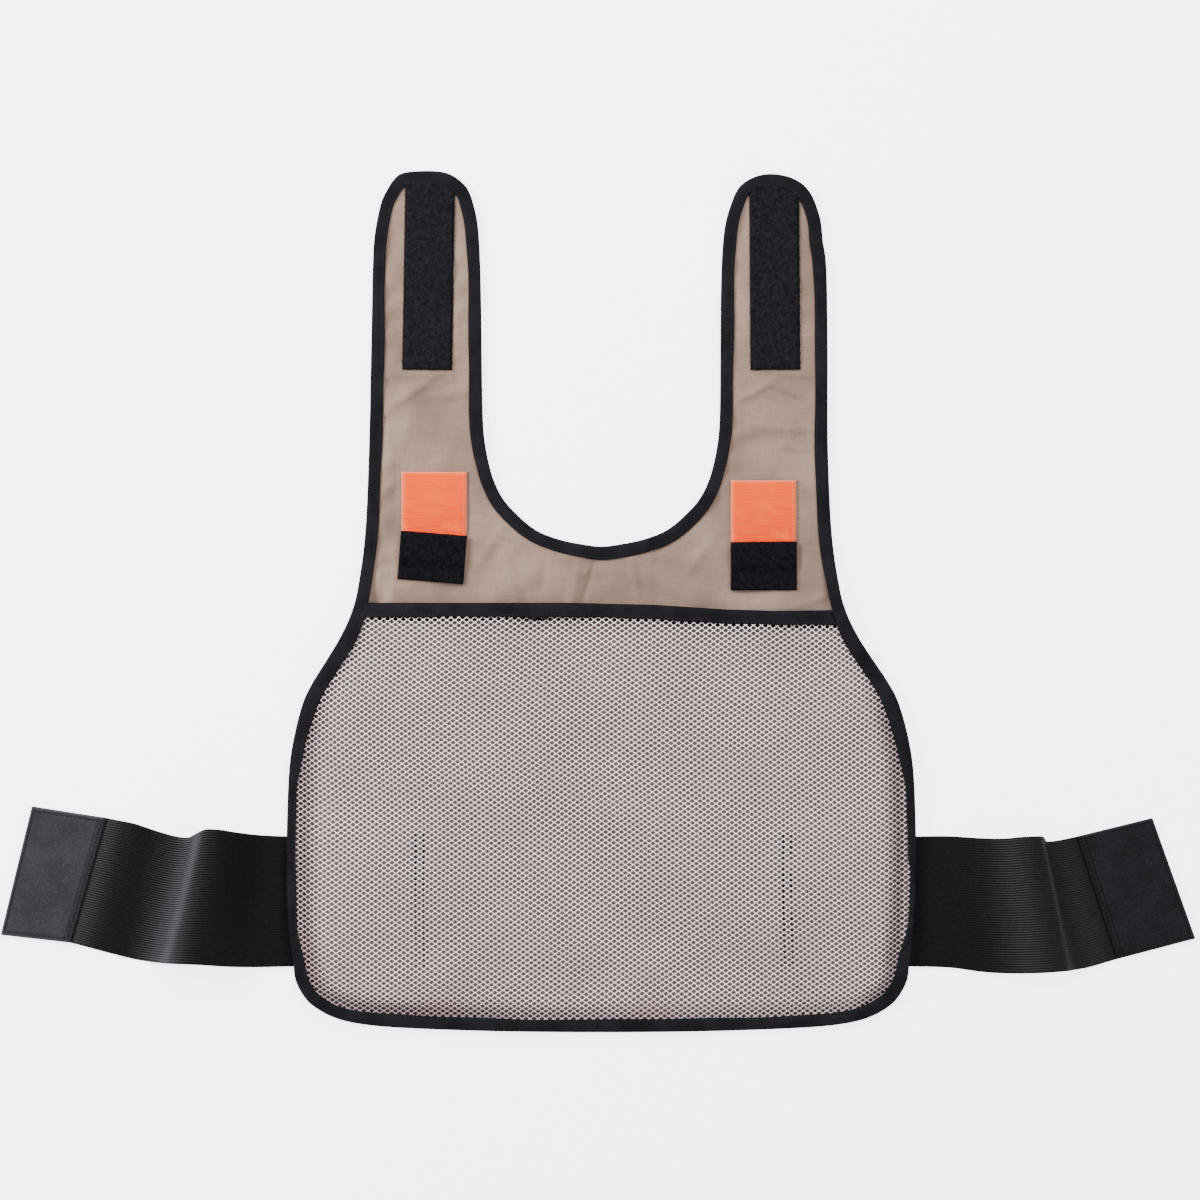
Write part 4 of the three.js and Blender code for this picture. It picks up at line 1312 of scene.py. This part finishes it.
def make_strap(strap):
    """Ribbed elastic in its waves, and the patch sewn on its free end."""
    upper, lower = strap_surface(strap)
    sign = strap["sign"]
    ribs = round(elastic_width / rib_pitch)
    columns = ribs * 4 + 1
    share = np.linspace(0, 1, columns)
    grid = lower[:, None, :] + (upper - lower)[:, None, :] * share[None, :, None]
    points = grid.reshape(-1, 3)
    points[:, 2] += elastic_thickness - rib_height
    steps = np.linalg.norm(np.diff((upper + lower) / 2, axis=0), axis=1)
    along = np.concatenate([[0], np.cumsum(steps)])
    across, length = np.meshgrid(share * elastic_width, along)
    cut = np.column_stack([length.ravel(), across.ravel()])
    faces = grid_faces(len(upper), columns)
    if sign < 0:
        faces = faces[:, ::-1]
    made = mesh_object(f"elastic_{strap['name']}", points, faces, "elastic", cut)
    carry(made.data, "across", cut[:, 1])
    out = (np.abs(upper[:, 0]) - body_half) / strap["reach"]
    # Painted highlights on the elastic's ribs and face, carried for its material
    for name, humps in strap["pale"].items():
        amount = sum(
            most * hump(out[:, None] - slant * (1 - share), centre, width)
            for centre, width, most, slant in humps
        )
        carry(made.data, name, amount.ravel())
    if made.data.polygons[0].normal.z < 0:
        made.data.flip_normals()
    made = grow(made, RIBS, Material=FINISHES["elastic"])
    thicken(made, elastic_thickness * 0.8)
    wear(made, "elastic", f"side_strap_{strap['name']}")
    make_patch(strap, upper, lower)
    return made, float(along[-1])


def patch_order(mesh, plan):
    """For each point of a slab, the place of its plan that it came from."""
    points = places_of(mesh)[:, :2] - [middle_x, hem_y]
    tree = KDTree(len(plan))
    for i, (x, y) in enumerate(plan):
        tree.insert((x, y, 0), i)
    tree.balance()
    return [tree.find((x, y, 0))[1] for x, y in points]


def make_patch(strap, upper, lower):
    """A flat patch with a row of stitches inside its border and two at its inner edge."""
    first = len(upper) - patch_rows
    corners = [lower[first], upper[first], upper[-1], lower[-1]]
    rows, columns = 72, 90
    s, t = np.meshgrid(np.linspace(0, 1, rows), np.linspace(0, 1, columns), indexing="ij")
    s, t = s.ravel()[:, None], t.ravel()[:, None]
    near = (1 - t) * corners[0] + t * corners[1]
    far = (1 - t) * corners[3] + t * corners[2]
    plan = ((1 - s) * near + s * far)[:, :2]
    size = np.array([np.linalg.norm(corners[3] - corners[0]), np.linalg.norm(corners[1] - corners[0])])
    cut = np.column_stack([s, t]) * size
    base = elastic_thickness + gap
    border = np.minimum(cut, size - cut).min(axis=1)
    groove = 0.45 * mm * hump(border, 2.6 * mm, 0.9 * mm)
    heights = base + patch_thickness - groove
    side = strap["name"]
    made = slab(f"patch_{side}", plan, cut, heights, patch_thickness * 0.8, f"patch_{side}", columns)
    inner_line = hump(cut[:, 0], 1.3 * mm, 0.6 * mm) + hump(cut[:, 0], 5 * mm, 0.6 * mm)
    seam = np.clip(0.75 * hump(border, 2.6 * mm, 0.7 * mm) + 0.8 * inner_line, 0, 1)
    rim = 0.6 * hump(border, 0, 1.1 * mm) * (cut[:, 0] > 3 * mm)
    order = patch_order(made.data, plan)
    carry(made.data, "seam", seam[order])
    carry(made.data, "rim", rim[order])
    wear(made, "patch", f"end_patch_{side}")
    z = base + patch_thickness - 0.25 * mm
    a, b, c, d = [np.array([p[0], p[1], z]) for p in corners]
    middle = (a + b + c + d) / 4

    def inside(point, amount):
        return point + (middle - point) / np.linalg.norm(middle - point) * amount

    ring = [inside(p, 3.6 * mm) for p in (a, b, c, d, a)]
    border_path = np.vstack([np.linspace(p, q, 30)[:-1] for p, q in zip(ring, ring[1:])])
    inner = np.linspace(inside(a, 6.2 * mm), inside(b, 6.2 * mm), 30)
    stitch_rows(f"patch_stitches_{side}", [border_path, inner], PATCH_STITCH, "dark_thread", "patch")


def make_anchor_stitches():
    """Two rows on each side where the elastic is sewn to the cloth, seen through the net."""
    paths = []
    for near, far in ANCHOR_ROWS:
        for x in (near, far):
            y = np.linspace(anchor_low, anchor_high, 30)
            xs = np.full_like(y, x) + (y - 100 * mm) * anchor_lean
            z = cloth_under(xs, y, depth_at(np.column_stack([xs, y]))) + cloth_thickness + 0.1 * mm
            paths.append(np.column_stack([xs, y, z]))
        xs = np.linspace(near, far, 5)
        y = np.full_like(xs, anchor_bar)
        z = cloth_under(xs, y, np.full_like(xs, 90 * mm)) + cloth_thickness + 0.1 * mm
        paths.append(np.column_stack([xs, y, z]))
    stitch_rows("anchor_stitches", paths, ANCHOR_STITCH, "dark_thread", "cloth")


def make_stage():
    """A pale floor, a high camera that looks straight down, and soft light."""
    bpy.ops.mesh.primitive_plane_add(size=8, location=(0, 0, -0.3 * mm))
    floor = bpy.context.object
    floor.name = "floor"
    pale = bpy.data.materials.new("pale_floor")
    pale.use_nodes = True
    shader = pale.node_tree.nodes["Principled BSDF"]
    shader.inputs["Base Color"].default_value = (0.92, 0.92, 0.92, 1)
    shader.inputs["Roughness"].default_value = 0.9
    shader.inputs["Emission Color"].default_value = (1, 1, 1, 1)
    shader.inputs["Emission Strength"].default_value = floor_glow
    floor.data.materials.append(pale)

    camera = bpy.data.cameras.new("camera")
    camera.sensor_width = 36
    camera.lens = camera.sensor_width * camera_height / photo_width
    eye = linked("camera", camera)
    eye.location = (middle_x + photo_middle[0], hem_y + photo_middle[1], camera_height)
    bpy.context.scene.camera = eye

    for row in LIGHTS:
        light = bpy.data.lights.new(row["name"], "AREA")
        light.size = row["size"]
        light.energy = row["power"]
        lamp = linked(row["name"], light)
        lamp.location = row["at"]
        lamp.rotation_euler = (-Vector(row["at"])).to_track_quat("-Z", "Y").to_euler()
    world = bpy.data.worlds.new("studio")
    world.use_nodes = True
    sky = world.node_tree.nodes["Background"]
    sky.inputs["Color"].default_value = (1, 1, 1, 1)
    sky.inputs["Strength"].default_value = sky_glow
    bpy.context.scene.world = world


make_stage()
cloth = make_cloth()
make_binding()
nets = make_net()
make_band()
make_loop_strips()
make_tabs()
elastics = [make_strap(strap) for strap in STRAPS]
make_anchor_stitches()
